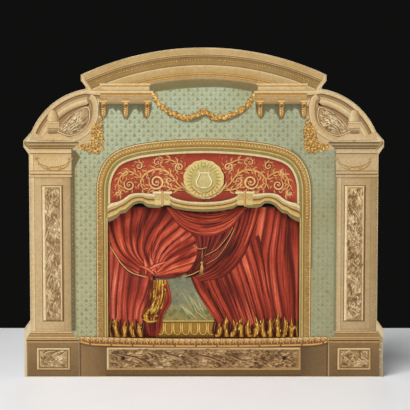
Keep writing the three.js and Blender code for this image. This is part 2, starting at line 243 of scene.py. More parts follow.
def inside(outline, x, z):
    """Whether a place lies inside a closed outline."""
    crossings = 0
    for (x0, z0), (x1, z1) in zip(outline, np.roll(outline, -1, axis=0)):
        if (z0 > z) != (z1 > z) and x < x0 + (z - z0) * (x1 - x0) / (z1 - z0):
            crossings += 1
    return crossings % 2 == 1


def part_of(loop, chosen, axis):
    """Those points of an outline that are chosen, in order along one axis."""
    found = loop[chosen]
    return found[np.argsort(found[:, axis], kind="stable")]


OUTLINE, OPENING = front_loops("facade_board", WALL_FACE)[:2]
GABLE_FOOT, SHOULDER_FOOT, SHOULDER_TOP, VALANCE_FOOT = 412.9, 336.4, 394.1, 213.4
GABLE_ARC = part_of(OUTLINE, OUTLINE[:, 1] > GABLE_FOOT, 0)
VALANCE_EDGE = part_of(OPENING, OPENING[:, 1] > VALANCE_FOOT, 0)
SHOULDER_ARC = part_of(
    OUTLINE, (OUTLINE[:, 0] > 0) & (OUTLINE[:, 1] > SHOULDER_FOOT) & (OUTLINE[:, 1] < SHOULDER_TOP), 1
)


# Printing


def bend_of(grid):
    """How far the rows of a grid stray from straight lines."""
    span = grid[:, -1] - grid[:, 0]
    away = grid - grid[:, :1]
    cross = away[..., 0] * span[:, None, 1] - away[..., 1] * span[:, None, 0]
    return (np.abs(cross) / np.maximum(np.linalg.norm(span, axis=1), 1e-6)[:, None]).max()


def cells(base, rows, columns):
    """The first corner of every cell of a grid of points that starts at a number."""
    return [base + i * columns + j for i in range(rows - 1) for j in range(columns - 1)]


class InkSheet:
    """Printed shapes in front of a plane, each a closed film, stacked in the order they are laid."""

    sheets = 0

    def __init__(self, face_y=0, layer=0):
        self.face_y = face_y
        self.layer = layer
        self.laid = SHEET_SHIFT * InkSheet.sheets
        InkSheet.sheets += 1
        self.points, self.inks, self.skirts, self.fronts = [], [], [], []

    def heights(self, layer):
        """Where the front and the back of the next film stand; no two films share a plane."""
        self.layer = self.layer if layer is None else layer
        self.laid += 1
        level = self.layer + self.laid % LEVELS / LEVELS * LEVEL_SPAN
        front = self.face_y - level * sizes().layer_step / MM
        return front, front + sizes().film_thickness / MM

    def patch(self, grid, inks, layer=None):
        """Rows of points, each row as long as the next, with an ink for each point."""
        grid = np.asarray(grid, float)
        rows, columns = grid.shape[:2]
        inks = np.broadcast_to(np.asarray(inks, float), (rows, columns, 3))
        along, up = (grid[:, -1] - grid[:, 0]).mean(0), (grid[-1] - grid[0]).mean(0)
        if along[0] * up[1] < along[1] * up[0]:
            grid, inks = grid[:, ::-1], inks[:, ::-1]
        front_y, back_y = self.heights(layer)
        base = len(self.points)
        back = base + rows * columns
        self.points += [(x, front_y, z) for x, z in grid.reshape(-1, 2)]
        self.inks += list(inks.reshape(-1, 3))
        self.fronts += [[i, i + 1, i + columns + 1, i + columns] for i in cells(base, rows, columns)]
        if bend_of(grid) > ROW_BEND:
            self.copy_back(base, rows, columns, back_y)
            return
        for i in range(rows):
            for j in (0, columns - 1):
                self.points.append((grid[i, j, 0], back_y, grid[i, j, 1]))
                self.inks.append(inks[i, j])
        last = rows - 1
        self.skirts.append([base + j for j in reversed(range(columns))] + [back, back + 1])
        self.skirts.append([base + last * columns + j for j in range(columns)] + [back + 2 * last + 1, back + 2 * last])
        for i in range(last):
            left, right = base + i * columns, base + (i + 1) * columns - 1
            rear, next_rear = back + 2 * i, back + 2 * i + 2
            self.skirts.append([left, left + columns, next_rear, rear])
            self.skirts.append([right + columns, right, rear + 1, next_rear + 1])
            self.skirts.append([rear, next_rear, next_rear + 1, rear + 1])

    def copy_back(self, base, rows, columns, back_y):
        """Closes a film with bent rows by a full copy of its front."""
        count = rows * columns
        self.points += [(x, back_y, z) for x, y, z in self.points[base:]]
        self.inks += self.inks[base:]
        self.skirts += [[i + columns, i + columns + 1, i + 1, i] for i in cells(base + count, rows, columns)]
        last = range((rows - 1) * columns, count)
        ring = [*range(columns), *range(2 * columns - 1, count, columns), *reversed(last[:-1]),
                *range((rows - 2) * columns, 0, -columns)]
        for a, b in zip(ring, ring[1:] + ring[:1]):
            self.skirts.append([base + b, base + a, base + count + a, base + count + b])

    def shape(self, outline, rim, centre=None, middle=None, layer=None):
        """A closed outline filled from its middle, with an ink at its rim and one at its middle."""
        line = np.asarray(outline, float)
        x, z = line.T
        if (x * np.roll(z, -1) - np.roll(x, -1) * z).sum() < 0:
            line = line[::-1]
            rim = rim if np.ndim(rim) == 1 else np.asarray(rim)[::-1]
        count = len(line)
        rims = list(np.broadcast_to(np.asarray(rim, float), (count, 3)))
        front_y, back_y = self.heights(layer)
        base = len(self.points)
        for height in (front_y, back_y):
            self.points += [(x, height, z) for x, z in line]
            self.inks += rims
        x, z = line.mean(0) if centre is None else centre
        self.points.append((x, front_y, z))
        self.inks.append(rims[0] if middle is None else middle)
        self.skirts.append([base + count + i for i in reversed(range(count))])
        for i in range(count):
            following = (i + 1) % count
            self.skirts.append([base + following, base + i, base + count + i, base + count + following])
            self.fronts.append([base + i, base + following, base + 2 * count])

    def ribbon(self, path, stops, layer=None, shade=1.0):
        """A band along a path: each stop is an offset to the left of travel and its ink."""
        grid = beside(path, [offset for offset, ink in stops])
        inks = np.array([ink for offset, ink in stops], float) * np.reshape(shade, (-1, 1, 1))
        self.patch(grid, inks, layer)

    def bands(self, left, right, stops, layer=None):
        """Level bands: each stop is a height and its ink, and the ends may change with height."""
        heights = [height for height, ink in stops]
        ends = [np.column_stack([np.broadcast_to(end, len(heights)), heights]) for end in (left, right)]
        self.patch(ends, [ink for height, ink in stops], layer)

    def pillars(self, bottom, top, stops, layer=None):
        """Upright bands: each stop is a place across and its ink."""
        grid = [[(place, height) for place, ink in stops] for height in (bottom, top)]
        self.patch(grid, [ink for place, ink in stops], layer)

    def between(self, lower, upper, stops, layer=None):
        """Bands between two lines with the same number of points; a stop is a share across."""
        lower, upper = np.asarray(lower, float), np.asarray(upper, float)
        shares = np.array([share for share, ink in stops])[None, :, None]
        self.patch(lower[:, None] + (upper - lower)[:, None] * shares, [ink for share, ink in stops], layer)

    def stroke(self, path, width, inks, swell=0.5, layer=None):
        """A brush stroke along a path, thin at both ends and widest at the share given by swell."""
        line = np.asarray(path, float)
        share = np.linspace(0, 1, len(line))
        bent = np.where(share < swell, share / swell / 2, 0.5 + (share - swell) / (1 - swell) / 2)
        half = width / 2 * np.maximum(np.sin(np.pi * bent), THIN_END)
        places = beside(line, [0, 1])
        normal = places[:, 1] - places[:, 0]
        columns = np.linspace(-1, 1, len(inks))
        self.patch(line[:, None] + normal[:, None] * (half[:, None] * columns)[..., None], inks, layer)

    def leaf(self, root, tip, width, bend, light, dark, layer=None):
        """A leaf from root to tip, lit on one half."""
        root, tip = np.asarray(root, float), np.asarray(tip, float)
        middle = (root + tip) / 2 + np.array([root[1] - tip[1], tip[0] - root[0]]) * bend
        share = np.linspace(0, 1, 6)[:, None]
        spine = root * (1 - share) ** 2 + 2 * middle * share * (1 - share) + tip * share**2
        self.stroke(spine, width, [light, mix(light, dark, 0.25), dark, mix(light, dark, 0.6)], 0.4, layer)

    def disc(self, centre, radius, rim, middle, sides=12, layer=None):
        """A round spot, lit towards its upper left."""
        ring = toward(even_angles(sides)) * radius + centre
        self.shape(ring, rim, np.add(centre, (-0.3 * radius, 0.3 * radius)), middle, layer)

    def object(self, name, body="root", material="printed card"):
        """Makes the finished piece, riding on its body."""
        mesh = new_mesh(name, self.points, self.skirts + self.fronts)
        inks = mesh.attributes.new("Ink", "FLOAT_COLOR", "POINT")
        colours = np.column_stack([linear(np.array(self.inks)), np.ones(len(self.inks))])
        inks.data.foreach_set("color", colours.ravel())
        return finish_print(name, mesh, body, material)

    def motif(self, name):
        """Makes a small print that trees repeat, turned about its own origin."""
        found = self.object(name, body=None)
        bpy.context.scene.collection.objects.unlink(found)
        return found


def new_mesh(name, points, faces, edges=()):
    """A mesh whose points are given in millimetres."""
    mesh = bpy.data.meshes.new(name)
    mesh.from_pydata(np.array(points, float) * MM, list(edges), faces)
    return mesh


def put(name, data):
    """A new object in the scene."""
    made = bpy.data.objects.new(name, data)
    bpy.context.scene.collection.objects.link(made)
    return made


def finish_print(name, mesh, body, material, replaces=()):
    """Puts a print's mesh in the scene with a flat map of its front, and lets it ride."""
    lay_flat_map(mesh)
    mesh.materials.clear()
    mesh.materials.append(bpy.data.materials[material])
    piece = put(name, mesh)
    if body:
        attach(piece, body)
    if replaces:
        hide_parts(*replaces)
    return piece


def lay_flat_map(mesh):
    """Maps a mesh as it is seen from the front, over its whole width and height."""
    places = np.empty(len(mesh.vertices) * 3)
    mesh.vertices.foreach_get("co", places)
    places = places.reshape(-1, 3)[:, [0, 2]]
    corner = np.empty(len(mesh.loops), int)
    mesh.loops.foreach_get("vertex_index", corner)
    flat = (places - places.min(0)) / np.maximum(np.ptp(places, axis=0), 1e-6)
    for existing in list(mesh.uv_layers):
        mesh.uv_layers.remove(existing)
    layer = mesh.uv_layers.new(name="OFBake")
    layer.uv.foreach_set("vector", (flat[corner] * (1 - 2 * MAP_MARGIN) + MAP_MARGIN).ravel())


# Shader groups and materials


class Nodes:
    """Short calls for adding and joining the nodes of a tree."""

    def __init__(self, tree):
        self.tree = tree

    def feed(self, node, values):
        """Joins a node's inputs to the sockets given, or sets them to the values given."""
        for key, value in values.items():
            if isinstance(value, bpy.types.NodeSocket):
                self.tree.links.new(value, node.inputs[key])
            else:
                node.inputs[key].default_value = value

    def add(self, kind, values=None, **settings):
        """A node with its settings and what its inputs get; shader kinds go by their short name."""
        node = self.tree.nodes.new(kind if "Node" in kind else "ShaderNode" + kind)
        for key, value in settings.items():
            setattr(node, key, value)
        self.feed(node, values or {})
        return node

    def first(self, kind, values=None, **settings):
        """The first output of a new node."""
        return self.add(kind, values, **settings).outputs[0]

    def group(self, name, values):
        """The outputs of a shared group."""
        return self.add("Group", values, node_tree=bpy.data.node_groups[name]).outputs

    def place(self):
        """Where on the object a point lies."""
        return self.add("TexCoord").outputs["Object"]

    def noise(self, place, scale, detail=3.0, rough=0.55):
        """A cloudy value around a half."""
        return self.first("TexNoise", {"Vector": place, "Scale": scale, "Detail": detail, "Roughness": rough})

    def wave(self, place, scale, distortion, direction, **values):
        """A value in stripes."""
        values = {"Vector": place, "Scale": scale, "Distortion": distortion, **values}
        return self.add("TexWave", values, bands_direction=direction).outputs["Fac"]

    def stretch(self, place, scale):
        """Places scaled differently along each axis."""
        return self.first("Mapping", {"Vector": place, "Scale": scale})

    def span(self, value, low, high, to_low, to_high):
        """A value moved from one span to another, and held there."""
        values = {"Value": value, "From Min": low, "From Max": high, "To Min": to_low, "To Max": to_high}
        return self.first("MapRange", values)

    def math(self, operation, *values):
        """A sum on one or two values."""
        return self.first("Math", dict(enumerate(values)), operation=operation)

    def stray(self, value, amount):
        """How far a value strays from a half, times an amount."""
        return self.math("MULTIPLY", self.math("SUBTRACT", value, 0.5), amount)

    def blend(self, share, first, second, kind="MIX"):
        """Two colours mixed by a share."""
        return self.add("Mix", {0: share, 6: first, 7: second}, data_type="RGBA", blend_type=kind).outputs[2]

    def dim(self, colour, tone):
        """A colour times a value."""
        return self.blend(1.0, colour, self.first("CombineColor", {i: tone for i in range(3)}), "MULTIPLY")

    def bump(self, height, distance, strength=0.6):
        """A normal that follows a height."""
        return self.first("Bump", {"Height": height, "Distance": distance, "Strength": strength})


def node_group(kind, name, inputs, outputs):
    """An empty group with its sockets: its node helper, what it is given and its end node."""
    tree = bpy.data.node_groups.new(name, kind)
    for label, socket_type, value in inputs:
        socket = tree.interface.new_socket(name=label, in_out="INPUT", socket_type="NodeSocket" + socket_type)
        if value is not None:
            socket.default_value = value
    for label, socket_type in outputs:
        tree.interface.new_socket(name=label, in_out="OUTPUT", socket_type="NodeSocket" + socket_type)
    return Nodes(tree), tree.nodes.new("NodeGroupInput").outputs, tree.nodes.new("NodeGroupOutput")


LOOKS = (("Color", "Color"), ("Roughness", "Float"), ("Height", "Float"))


def ink_group():
    """Print on old card: stippled grain, cloudy ageing, foxing and rubbed specks."""
    n, given, result = node_group("ShaderNodeTree", "Lithographic ink", [
        ("Ink", "Color", (0.5, 0.4, 0.3, 1)), ("Grain", "Float", 0.16), ("Ageing", "Float", 0.12),
        ("Wear", "Float", 0.5), ("Gloss", "Float", 0.55)], LOOKS)
    place = n.place()
    cloud = n.noise(place, 38, 4.0, 0.6)
    grain = n.stray(n.noise(place, 900, 2.0, 0.7), given["Grain"])
    mottle = n.stray(n.noise(place, 330, 2.0, 0.6), given["Grain"])
    grain = n.math("ADD", grain, n.math("MULTIPLY", mottle, 1.5))
    tone = n.math("ADD", grain, n.math("ADD", n.stray(cloud, given["Ageing"]), 1.0))
    foxing = n.span(n.noise(place, 14, 5.0), 0.4, 0.75, 0, 0.7)
    yellowed = n.blend(foxing, n.dim(given["Ink"], tone), (0.9, 0.8, 0.58, 1), "MULTIPLY")
    specks = n.span(n.noise(place, 420, 3.0, 0.75), 0.715, 0.75, 0, 1)
    patches = n.span(n.noise(place, 26, 2.0), 0.5, 0.62, 0, 1)
    rubbed = n.math("MULTIPLY", n.math("MULTIPLY", specks, patches), given["Wear"])
    fibres = n.noise(place, 1500, 3.0, 0.6)
    n.feed(result, {
        "Color": n.blend(rubbed, yellowed, (0.74, 0.62, 0.42, 1)),
        "Roughness": n.math("ADD", given["Gloss"], n.stray(cloud, 0.25)),
        "Height": n.math("ADD", fibres, n.math("MULTIPLY", cloud, 2.0))})


def grain_group():
    """Softwood grain along Z: growth lines, pores, darker stretches and grime."""
    n, given, result = node_group("ShaderNodeTree", "Softwood grain", [
        ("Place", "Vector", (0, 0, 0)), ("Early wood", "Color", (0.5, 0.3, 0.14, 1)),
        ("Late wood", "Color", (0.3, 0.15, 0.06, 1)), ("Grime", "Float", 0.4)], LOOKS)
    place = given["Place"]
    drift = n.noise(n.stretch(place, (9, 9, 1.6)), 1.0, 2.0)
    rings = n.wave(n.stretch(place, (150, 60, 4)), 1.0, 6.0, "X", **{"Detail": 2.0, "Detail Scale": 0.7})
    fine = n.noise(n.stretch(place, (1400, 1400, 35)), 1.0, 3.0, 0.7)
    lines = n.math("ADD", n.math("MULTIPLY", rings, 0.6), n.math("MULTIPLY", fine, 0.5))
    wood = n.blend(n.span(lines, 0.25, 0.85, 0, 1), given["Early wood"], given["Late wood"])
    aged = n.blend(n.span(drift, 0.35, 0.7, 0, 0.35), wood, (0.16, 0.09, 0.04, 1))
    dirt = n.math("MULTIPLY", n.span(n.noise(place, 60, 5.0, 0.7), 0.5, 0.75, 0, 1), given["Grime"])
    n.feed(result, {
        "Color": n.blend(dirt, aged, (0.08, 0.055, 0.035, 1)),
        "Roughness": n.span(fine, 0.3, 0.7, 0.62, 0.85),
        "Height": n.math("ADD", fine, n.math("MULTIPLY", rings, 0.5))})


def fibre_group():
    """Brown strawboard: fibres that lie along its layers, and dark clouds."""
    n, given, result = node_group("ShaderNodeTree", "Strawboard", [
        ("Board", "Color", (0.42, 0.3, 0.17, 1)), ("Fibres", "Float", 0.35)], [LOOKS[0], LOOKS[2]])
    place = n.place()
    threads = n.noise(n.stretch(place, (500, 1700, 1400)), 1.0, 3.0, 0.7)
    cloud = n.noise(place, 22, 5.0, 0.6)
    dark = n.math("MULTIPLY", n.span(threads, 0.42, 0.68, 0, 1), given["Fibres"])
    pulp = n.blend(dark, given["Board"], (0.16, 0.1, 0.05, 1))
    n.feed(result, {"Color": n.blend(n.span(cloud, 0.48, 0.72, 0, 0.35), pulp, (0.2, 0.13, 0.07, 1)),
                    "Height": n.math("ADD", threads, cloud)})


def new_material(name, metallic=0.0, specular=0.5, roughness=0.6):
    """A new material's node helper and its shader."""
    material = bpy.data.materials.new(name)
    material.use_nodes = True
    n, shader = Nodes(material.node_tree), material.node_tree.nodes["Principled BSDF"]
    n.feed(shader, {"Metallic": metallic, "Specular IOR Level": specular, "Roughness": roughness})
    return n, shader


def print_material(name, grain, wear, gloss, specular, ageing):
    """Ink on card, coloured by the print itself."""
    n, shader = new_material(name, specular=specular)
    drawn = n.add("Attribute", attribute_name="Ink").outputs["Color"]
    shade = n.math("ADD", n.add("Attribute", attribute_name="Shade").outputs["Fac"], 1.0)
    ink = n.group("Lithographic ink", {"Ink": n.dim(drawn, shade), "Grain": grain, "Wear": wear, "Gloss": gloss,
                                       "Ageing": ageing})
    n.feed(shader, {"Base Color": ink["Color"], "Roughness": ink["Roughness"],
                    "Normal": n.bump(ink["Height"], 0.00012)})


def wood_material(name, along, early, late, grime):
    """Plain softwood with its grain along one axis."""
    n, shader = new_material(name, specular=0.3)
    turn = {"x": (0, math.pi / 2, 0), "y": (math.pi / 2, 0, 0), "z": (0, 0, 0)}[along]
    turned = n.first("Mapping", {"Vector": n.place(), "Rotation": turn})
    grain = n.group("Softwood grain", {"Place": turned, "Early wood": rgba(early), "Late wood": rgba(late),
                                       "Grime": grime})
    n.feed(shader, {"Base Color": grain["Color"], "Roughness": grain["Roughness"],
                    "Normal": n.bump(grain["Height"], 0.0003)})


def card_material(name, face_ink, face_turn, board=(172, 142, 98)):
    """Raw strawboard, papered on the face that looks along face_turn."""
    n, shader = new_material(name, specular=0.25, roughness=0.8)
    fibre = n.group("Strawboard", {"Board": rgba(board)})
    ink = n.group("Lithographic ink", {"Ink": rgba(face_ink), "Wear": 0.3})
    normal = n.add("TexCoord").outputs["Normal"]
    facing = n.add("VectorMath", {0: normal, 1: face_turn}, operation="DOT_PRODUCT").outputs["Value"]
    papered = n.math("GREATER_THAN", facing, 0.5)
    n.feed(shader, {"Base Color": n.blend(papered, fibre["Color"], ink["Color"]),
                    "Normal": n.bump(fibre["Height"], 0.0003)})


def tape_material():
    """Brown linen tape, worn pale on its weave."""
    n, shader = new_material("linen tape", specular=0.2, roughness=0.9)
    place = n.place()
    weave = n.math("MULTIPLY", n.wave(place, 700.0, 1.2, "DIAGONAL"), n.wave(place, 560.0, 1.5, "Z"))
    cloth = n.blend(weave, rgba((104, 82, 54)), rgba((158, 132, 92)))
    stain = n.span(n.noise(place, 40, 4.0), 0.45, 0.7, 0, 0.5)
    n.feed(shader, {"Base Color": n.blend(stain, cloth, rgba((84, 62, 38))), "Normal": n.bump(weave, 0.0003)})


def steel_material():
    """Blackened steel with rust in spots."""
    n, shader = new_material("dark steel", metallic=0.3)
    rust = n.span(n.noise(n.place(), 900, 4.0, 0.7), 0.5, 0.62, 0, 0.8)
    n.feed(shader, {"Base Color": n.blend(rust, rgba((30, 25, 21)), rgba((60, 38, 24))),
                    "Roughness": n.span(rust, 0, 0.8, 0.35, 0.8), "Normal": n.bump(rust, 0.0002)})


def make_materials():
    """Every material of the theatre, by name."""
    ink_group()
    grain_group()
    fibre_group()
    print_material("printed card", 0.34, 0.7, 0.5, 0.4, 0.22)
    print_material("gilt card", 0.4, 1.0, 0.45, 0.5, 0.2)
    print_material("curtain print", 0.42, 0.35, 0.66, 0.2, 0.3)
    for along in "xyz":
        wood_material(f"pine along {along}", along, (196, 158, 106), (150, 106, 60), 0.35)
    wood_material("floor pine", "x", (186, 150, 104), (140, 98, 58), 0.6)
    wood_material("lath pine", "x", (206, 172, 122), (168, 124, 76), 0.2)
    card_material("front board", (222, 204, 166), (0, -1, 0))
    card_material("left wing card", (150, 152, 118), (1, 0, 0))
    card_material("right wing card", (150, 152, 118), (-1, 0, 0))
    card_material("curtain board", (96, 52, 36), (0, -1, 0))
    card_material("strip board", (170, 122, 60), (0, -1, 0), (150, 112, 66))
    tape_material()
    steel_material()


# Geometry trees

ALONG, OVER = "Motifs along a path", "Motifs over a field"


def motif_tree(name, pitches):
    """An empty tree that repeats a motif, with its named inputs."""
    inputs = [("Geometry", "Geometry", None), ("Motif", "Object", None), ("Material", "Material", None),
              ("Size", "Float", 1.0), ("Size variation", "Float", 0.0), ("Turn", "Float", 0.0),
              ("Shade variation", "Float", 0.0), ("Depth", "Float", 0.0), ("Seed", "Int", 1)]
    inputs += [(label, "Float", 0.01) for label in pitches] + [("Spread", "Float", 0.0)]
    return node_group("GeometryNodeTree", name, inputs, [("Geometry", "Geometry")])


def strewn(n, given):
    """A random step in the upright plane, up to the spread."""
    values = {"Seed": given["Seed"], 0: (-1, 0, -1), 1: (1, 0, 1)}
    chance = n.first("FunctionNodeRandomValue", values, data_type="FLOAT_VECTOR")
    return n.first("VectorMath", {0: chance, "Scale": given["Spread"]}, operation="SCALE")


def instance_motifs(n, given, result, points, base_turn=None):
    """Places the motif on points with random turn, size and shade, and ends the tree."""
    def chance(offset, low, high):
        seed = n.first("FunctionNodeIntegerMath", {0: given["Seed"], 1: offset})
        return n.add("FunctionNodeRandomValue", {"Seed": seed, 2: low, 3: high}, data_type="FLOAT").outputs[1]

    def least(label):
        return n.math("MULTIPLY", given[label], -1.0)

    turn = chance(1, least("Turn"), given["Turn"])
    variation = given["Size variation"]
    size = chance(2, n.math("SUBTRACT", 1.0, variation), n.math("ADD", 1.0, variation))
    shade = chance(3, least("Shade variation"), given["Shade variation"])
    forward = n.first("CombineXYZ", {"Y": chance(4, least("Depth"), 0.0)})
    points = n.first("GeometryNodeSetPosition", {"Geometry": points, "Offset": forward})
    motif = n.add("GeometryNodeObjectInfo", {"Object": given["Motif"]}).outputs["Geometry"]
    rotation = n.first("FunctionNodeEulerToRotation", {0: n.first("CombineXYZ", {"Y": turn})})
    if base_turn is not None:
        rotation = n.first("FunctionNodeRotateRotation", {0: base_turn, 1: rotation}, rotation_space="LOCAL")
    placed = n.first("GeometryNodeInstanceOnPoints", {
        "Points": points, "Instance": motif, "Rotation": rotation, "Scale": n.math("MULTIPLY", size, given["Size"])})
    stored = n.first("GeometryNodeStoreNamedAttribute", {"Geometry": placed, "Name": "Shade", "Value": shade},
                     data_type="FLOAT", domain="INSTANCE")
    real = n.first("GeometryNodeRealizeInstances", {"Geometry": stored})
    made = n.first("GeometryNodeSetMaterial", {"Geometry": real, "Material": given["Material"]})
    n.feed(result, {0: made})


def path_tree():
    """Motifs at even steps along a line, strewn to both sides of it."""
    n, given, result = motif_tree(ALONG, ["Pitch"])
    curve = n.first("GeometryNodeMeshToCurve", {0: given["Geometry"]})
    even = n.first("GeometryNodeResampleCurve", {"Curve": curve, "Length": given["Pitch"]}, mode="LENGTH")
    kept = n.add("GeometryNodeCaptureAttribute", {"Geometry": even})
    kept.capture_items.new("VECTOR", "Tangent")
    n.feed(kept, {"Tangent": n.first("GeometryNodeInputTangent")})
    dots = n.first("GeometryNodeCurveToPoints", {"Curve": kept.outputs[0]}, mode="EVALUATED")
    moved = n.first("GeometryNodeSetPosition", {"Geometry": dots, "Offset": strewn(n, given)})
    aligned = n.first("FunctionNodeAlignRotationToVector", {"Vector": kept.outputs["Tangent"]}, axis="X",
                      pivot_axis="Y")
    instance_motifs(n, given, result, moved, aligned)


def field_tree():
    """Motifs in half-drop rows over a flat upright field, kept where the field lies behind them."""
    n, given, result = motif_tree(OVER, ["Pitch across", "Pitch up"])
    bounds = n.add("GeometryNodeBoundBox", {0: given["Geometry"]}).outputs
    low = n.add("SeparateXYZ", {0: bounds["Min"]}).outputs
    high = n.add("SeparateXYZ", {0: bounds["Max"]}).outputs

    def steps(axis, pitch):
        return n.math("CEIL", n.math("DIVIDE", n.math("SUBTRACT", high[axis], low[axis]), pitch))

    def place(axis, steps_on, pitch):
        return n.math("ADD", low[axis], n.math("MULTIPLY", steps_on, pitch))

    columns = steps(0, given["Pitch across"])
    rows = n.math("ADD", steps(2, given["Pitch up"]), 1.0)
    dots = n.first("GeometryNodePoints", {"Count": n.math("MULTIPLY", columns, rows)})
    index = n.first("GeometryNodeInputIndex")
    column = n.math("FLOOR", n.math("DIVIDE", n.math("ADD", index, 0.5), rows))
    row = n.math("SUBTRACT", index, n.math("MULTIPLY", column, rows))
    drop = n.math("MULTIPLY", n.math("MODULO", column, 2.0), 0.5)
    spot = n.first("CombineXYZ", {
        "X": place(0, n.math("ADD", column, 0.5), given["Pitch across"]), "Y": low[1],
        "Z": place(2, n.math("ADD", row, drop), given["Pitch up"])})
    spot = n.first("VectorMath", {0: spot, 1: strewn(n, given)}, operation="ADD")
    laid = n.first("GeometryNodeSetPosition", {"Geometry": dots, "Position": spot})
    ahead = n.first("VectorMath", {0: n.first("GeometryNodeInputPosition"), 1: (0, -0.01, 0)}, operation="ADD")
    ray = n.add("GeometryNodeRaycast", {"Target Geometry": given["Geometry"], "Source Position": ahead,
                                        "Ray Direction": (0, 1, 0), "Ray Length": 0.02})
    missed = n.first("FunctionNodeBooleanMath", {0: ray.outputs["Is Hit"]}, operation="NOT")
    kept = n.first("GeometryNodeDeleteGeometry", {"Geometry": laid, "Selection": missed}, domain="POINT")
    instance_motifs(n, given, result, kept)


def grow(name, tree_name, outline, layer, motif, settings, face_y=WALL_FACE, body="root",
         material="printed card"):
    """Runs a tree along a line or over a field in front of a face, and makes its result a finished print."""
    points = [(x, face_y - layer * sizes().layer_step / MM, z) for x, z in outline]
    edges = [(i, i + 1) for i in range(len(points) - 1)] if tree_name == ALONG else []
    faces = [list(range(len(points)))] if tree_name == OVER else []
    carrier = put(name + "_carrier", new_mesh(name + "_carrier", points, faces, edges))
    bpy.context.scene.collection.objects.link(motif)
    modifier = carrier.modifiers.new("Motifs", "NODES")
    modifier.node_group = bpy.data.node_groups[tree_name]
    values = {"Motif": motif, "Material": bpy.data.materials[material], **settings}
    for item in modifier.node_group.interface.items_tree:
        if item.item_type == "SOCKET" and item.in_out == "INPUT" and item.name in values:
            modifier[item.identifier] = values[item.name]
    evaluated = carrier.evaluated_get(bpy.context.evaluated_depsgraph_get())
    mesh = bpy.data.meshes.new_from_object(evaluated)
    mesh.name = name
    carrier.modifiers.remove(modifier)
    bpy.data.objects.remove(carrier)
    bpy.context.scene.collection.objects.unlink(motif)
    if not len(mesh.polygons):
        raise RuntimeError(f"{name}: the tree made nothing")
    finish_print(name, mesh, body, material)


# Ornament


def strew(chance, outline, spacing, stray):
    """Places over a field in random order, each off its even place by up to a share of the spacing."""
    low, high = np.min(outline, axis=0), np.max(outline, axis=0)
    spots = [(x + chance.uniform(-stray, stray) * spacing, z + chance.uniform(-stray, stray) * spacing)
             for x in np.arange(low[0], high[0], spacing) for z in np.arange(low[1], high[1], spacing)]
    chance.shuffle(spots)
    return spots


FIELD_LAYERS = 3.5  # layers that the leaves of one field take up, each leaf a little above the last


def foliage(sheet, outline, spacing, seed, light, dark, length, layer):
    """Carved leaves strewn every way over a field, lit from the upper left."""
    chance = random.Random(seed)
    spots = strew(chance, outline, spacing, 0.4)
    for i, place in enumerate(spots):
        angle = math.radians(chance.uniform(-180, 180))
        reach = length * chance.uniform(0.5, 1.1)
        tip = place + toward(angle) * reach
        tone = chance.uniform(0.82, 1.1)
        lit = darker(mix(light, dark, 0.55 * (0.5 + 0.5 * math.cos(angle - math.radians(45)))), tone)
        if inside(outline, *place) and inside(outline, *tip):
            sheet.leaf(place, tip, reach * chance.uniform(0.22, 0.42), chance.uniform(-0.35, 0.35), lit,
                       darker(dark, tone), layer + FIELD_LAYERS * i / len(spots))


CARVED = ((112, 82, 48), (152, 120, 76), (192, 162, 116), (224, 198, 152), (252, 236, 194))
CARVED_BASE = ((84, 52, 26), (122, 86, 48), (156, 122, 78), (194, 158, 110), (236, 206, 158))


def relief(sheet, outline, spacing, seed, inks, length, layer, heading=0, stray=30):
    """Carving seen from afar: leaf-shaped dabs of light and shade, drifting along a heading in degrees."""
    chance = random.Random(seed)
    spots = strew(chance, outline, spacing, 0.5)
    for i, place in enumerate(spots):
        wave = math.sin(place[0] / length * 0.9 + 2 * math.sin(place[1] / length * 0.7))
        angle = math.radians(heading + 22 * wave + chance.uniform(-stray, stray))
        reach = length * chance.uniform(0.4, 1.1)
        tip = place + toward(angle) * reach
        tone = 0.52 + 0.14 * wave + chance.uniform(-0.42, 0.42)
        if inside(outline, *place) and inside(outline, *tip):
            sheet.leaf(place, tip, reach * chance.uniform(0.28, 0.5), chance.uniform(-0.3, 0.3), tones(inks, tone),
                       tones(inks, tone - 0.3), layer + FIELD_LAYERS * i / len(spots))


def branches(sheet, low, high, count, seed, rise, inks, layer):
    """Dark twigs with a lit edge that cross a carved field at a slant."""
    chance = random.Random(seed)
    wide, tall = np.subtract(high, low)
    for i in range(count):
        share = (i + chance.uniform(0.2, 0.8)) / count
        start = np.add(low, (wide * chance.uniform(0.1, 0.35), tall * share))
        if wide > tall:
            start = np.add(low, (wide * share * 0.94, tall * 0.72))
        end = np.clip(start + np.multiply(rise, chance.uniform(0.4, 1.1)), low, high)
        path = smooth([start, (start + end) / 2 + (chance.uniform(-3, 3), chance.uniform(-3, 3)), end], 8)
        sheet.stroke(path + (0.3, 1.1), 1.8, [darker(inks[0], 0.85), inks[0], inks[1]], 0.4, layer)
        sheet.stroke(path + (0.6, -1.0), 1.7, [inks[2], inks[3], inks[2]], 0.4, layer + 1)


def bevelled_panel(sheet, low, high, border, left_top, right_bottom, ground, layer):
    """A sunk panel with a mitred border, lighter on two of its sides, and a plain ground."""
    outer = rectangle(low, high)
    inner = rectangle(np.add(low, border), np.subtract(high, border))
    for i, ink in enumerate((right_bottom, right_bottom, left_top, left_top)):
        edges = [[outer[k], (outer[k] + inner[k]) / 2, inner[k]] for k in (i, (i + 1) % 4)]
        sheet.patch(edges, [darker(ink, 0.8), ink, mix(ink, ground, 0.4)], layer)
    sheet.patch([inner[:2], inner[[3, 2]]], [ground, darker(ground, 0.93)], layer + 1)


# Wall, frame and valance

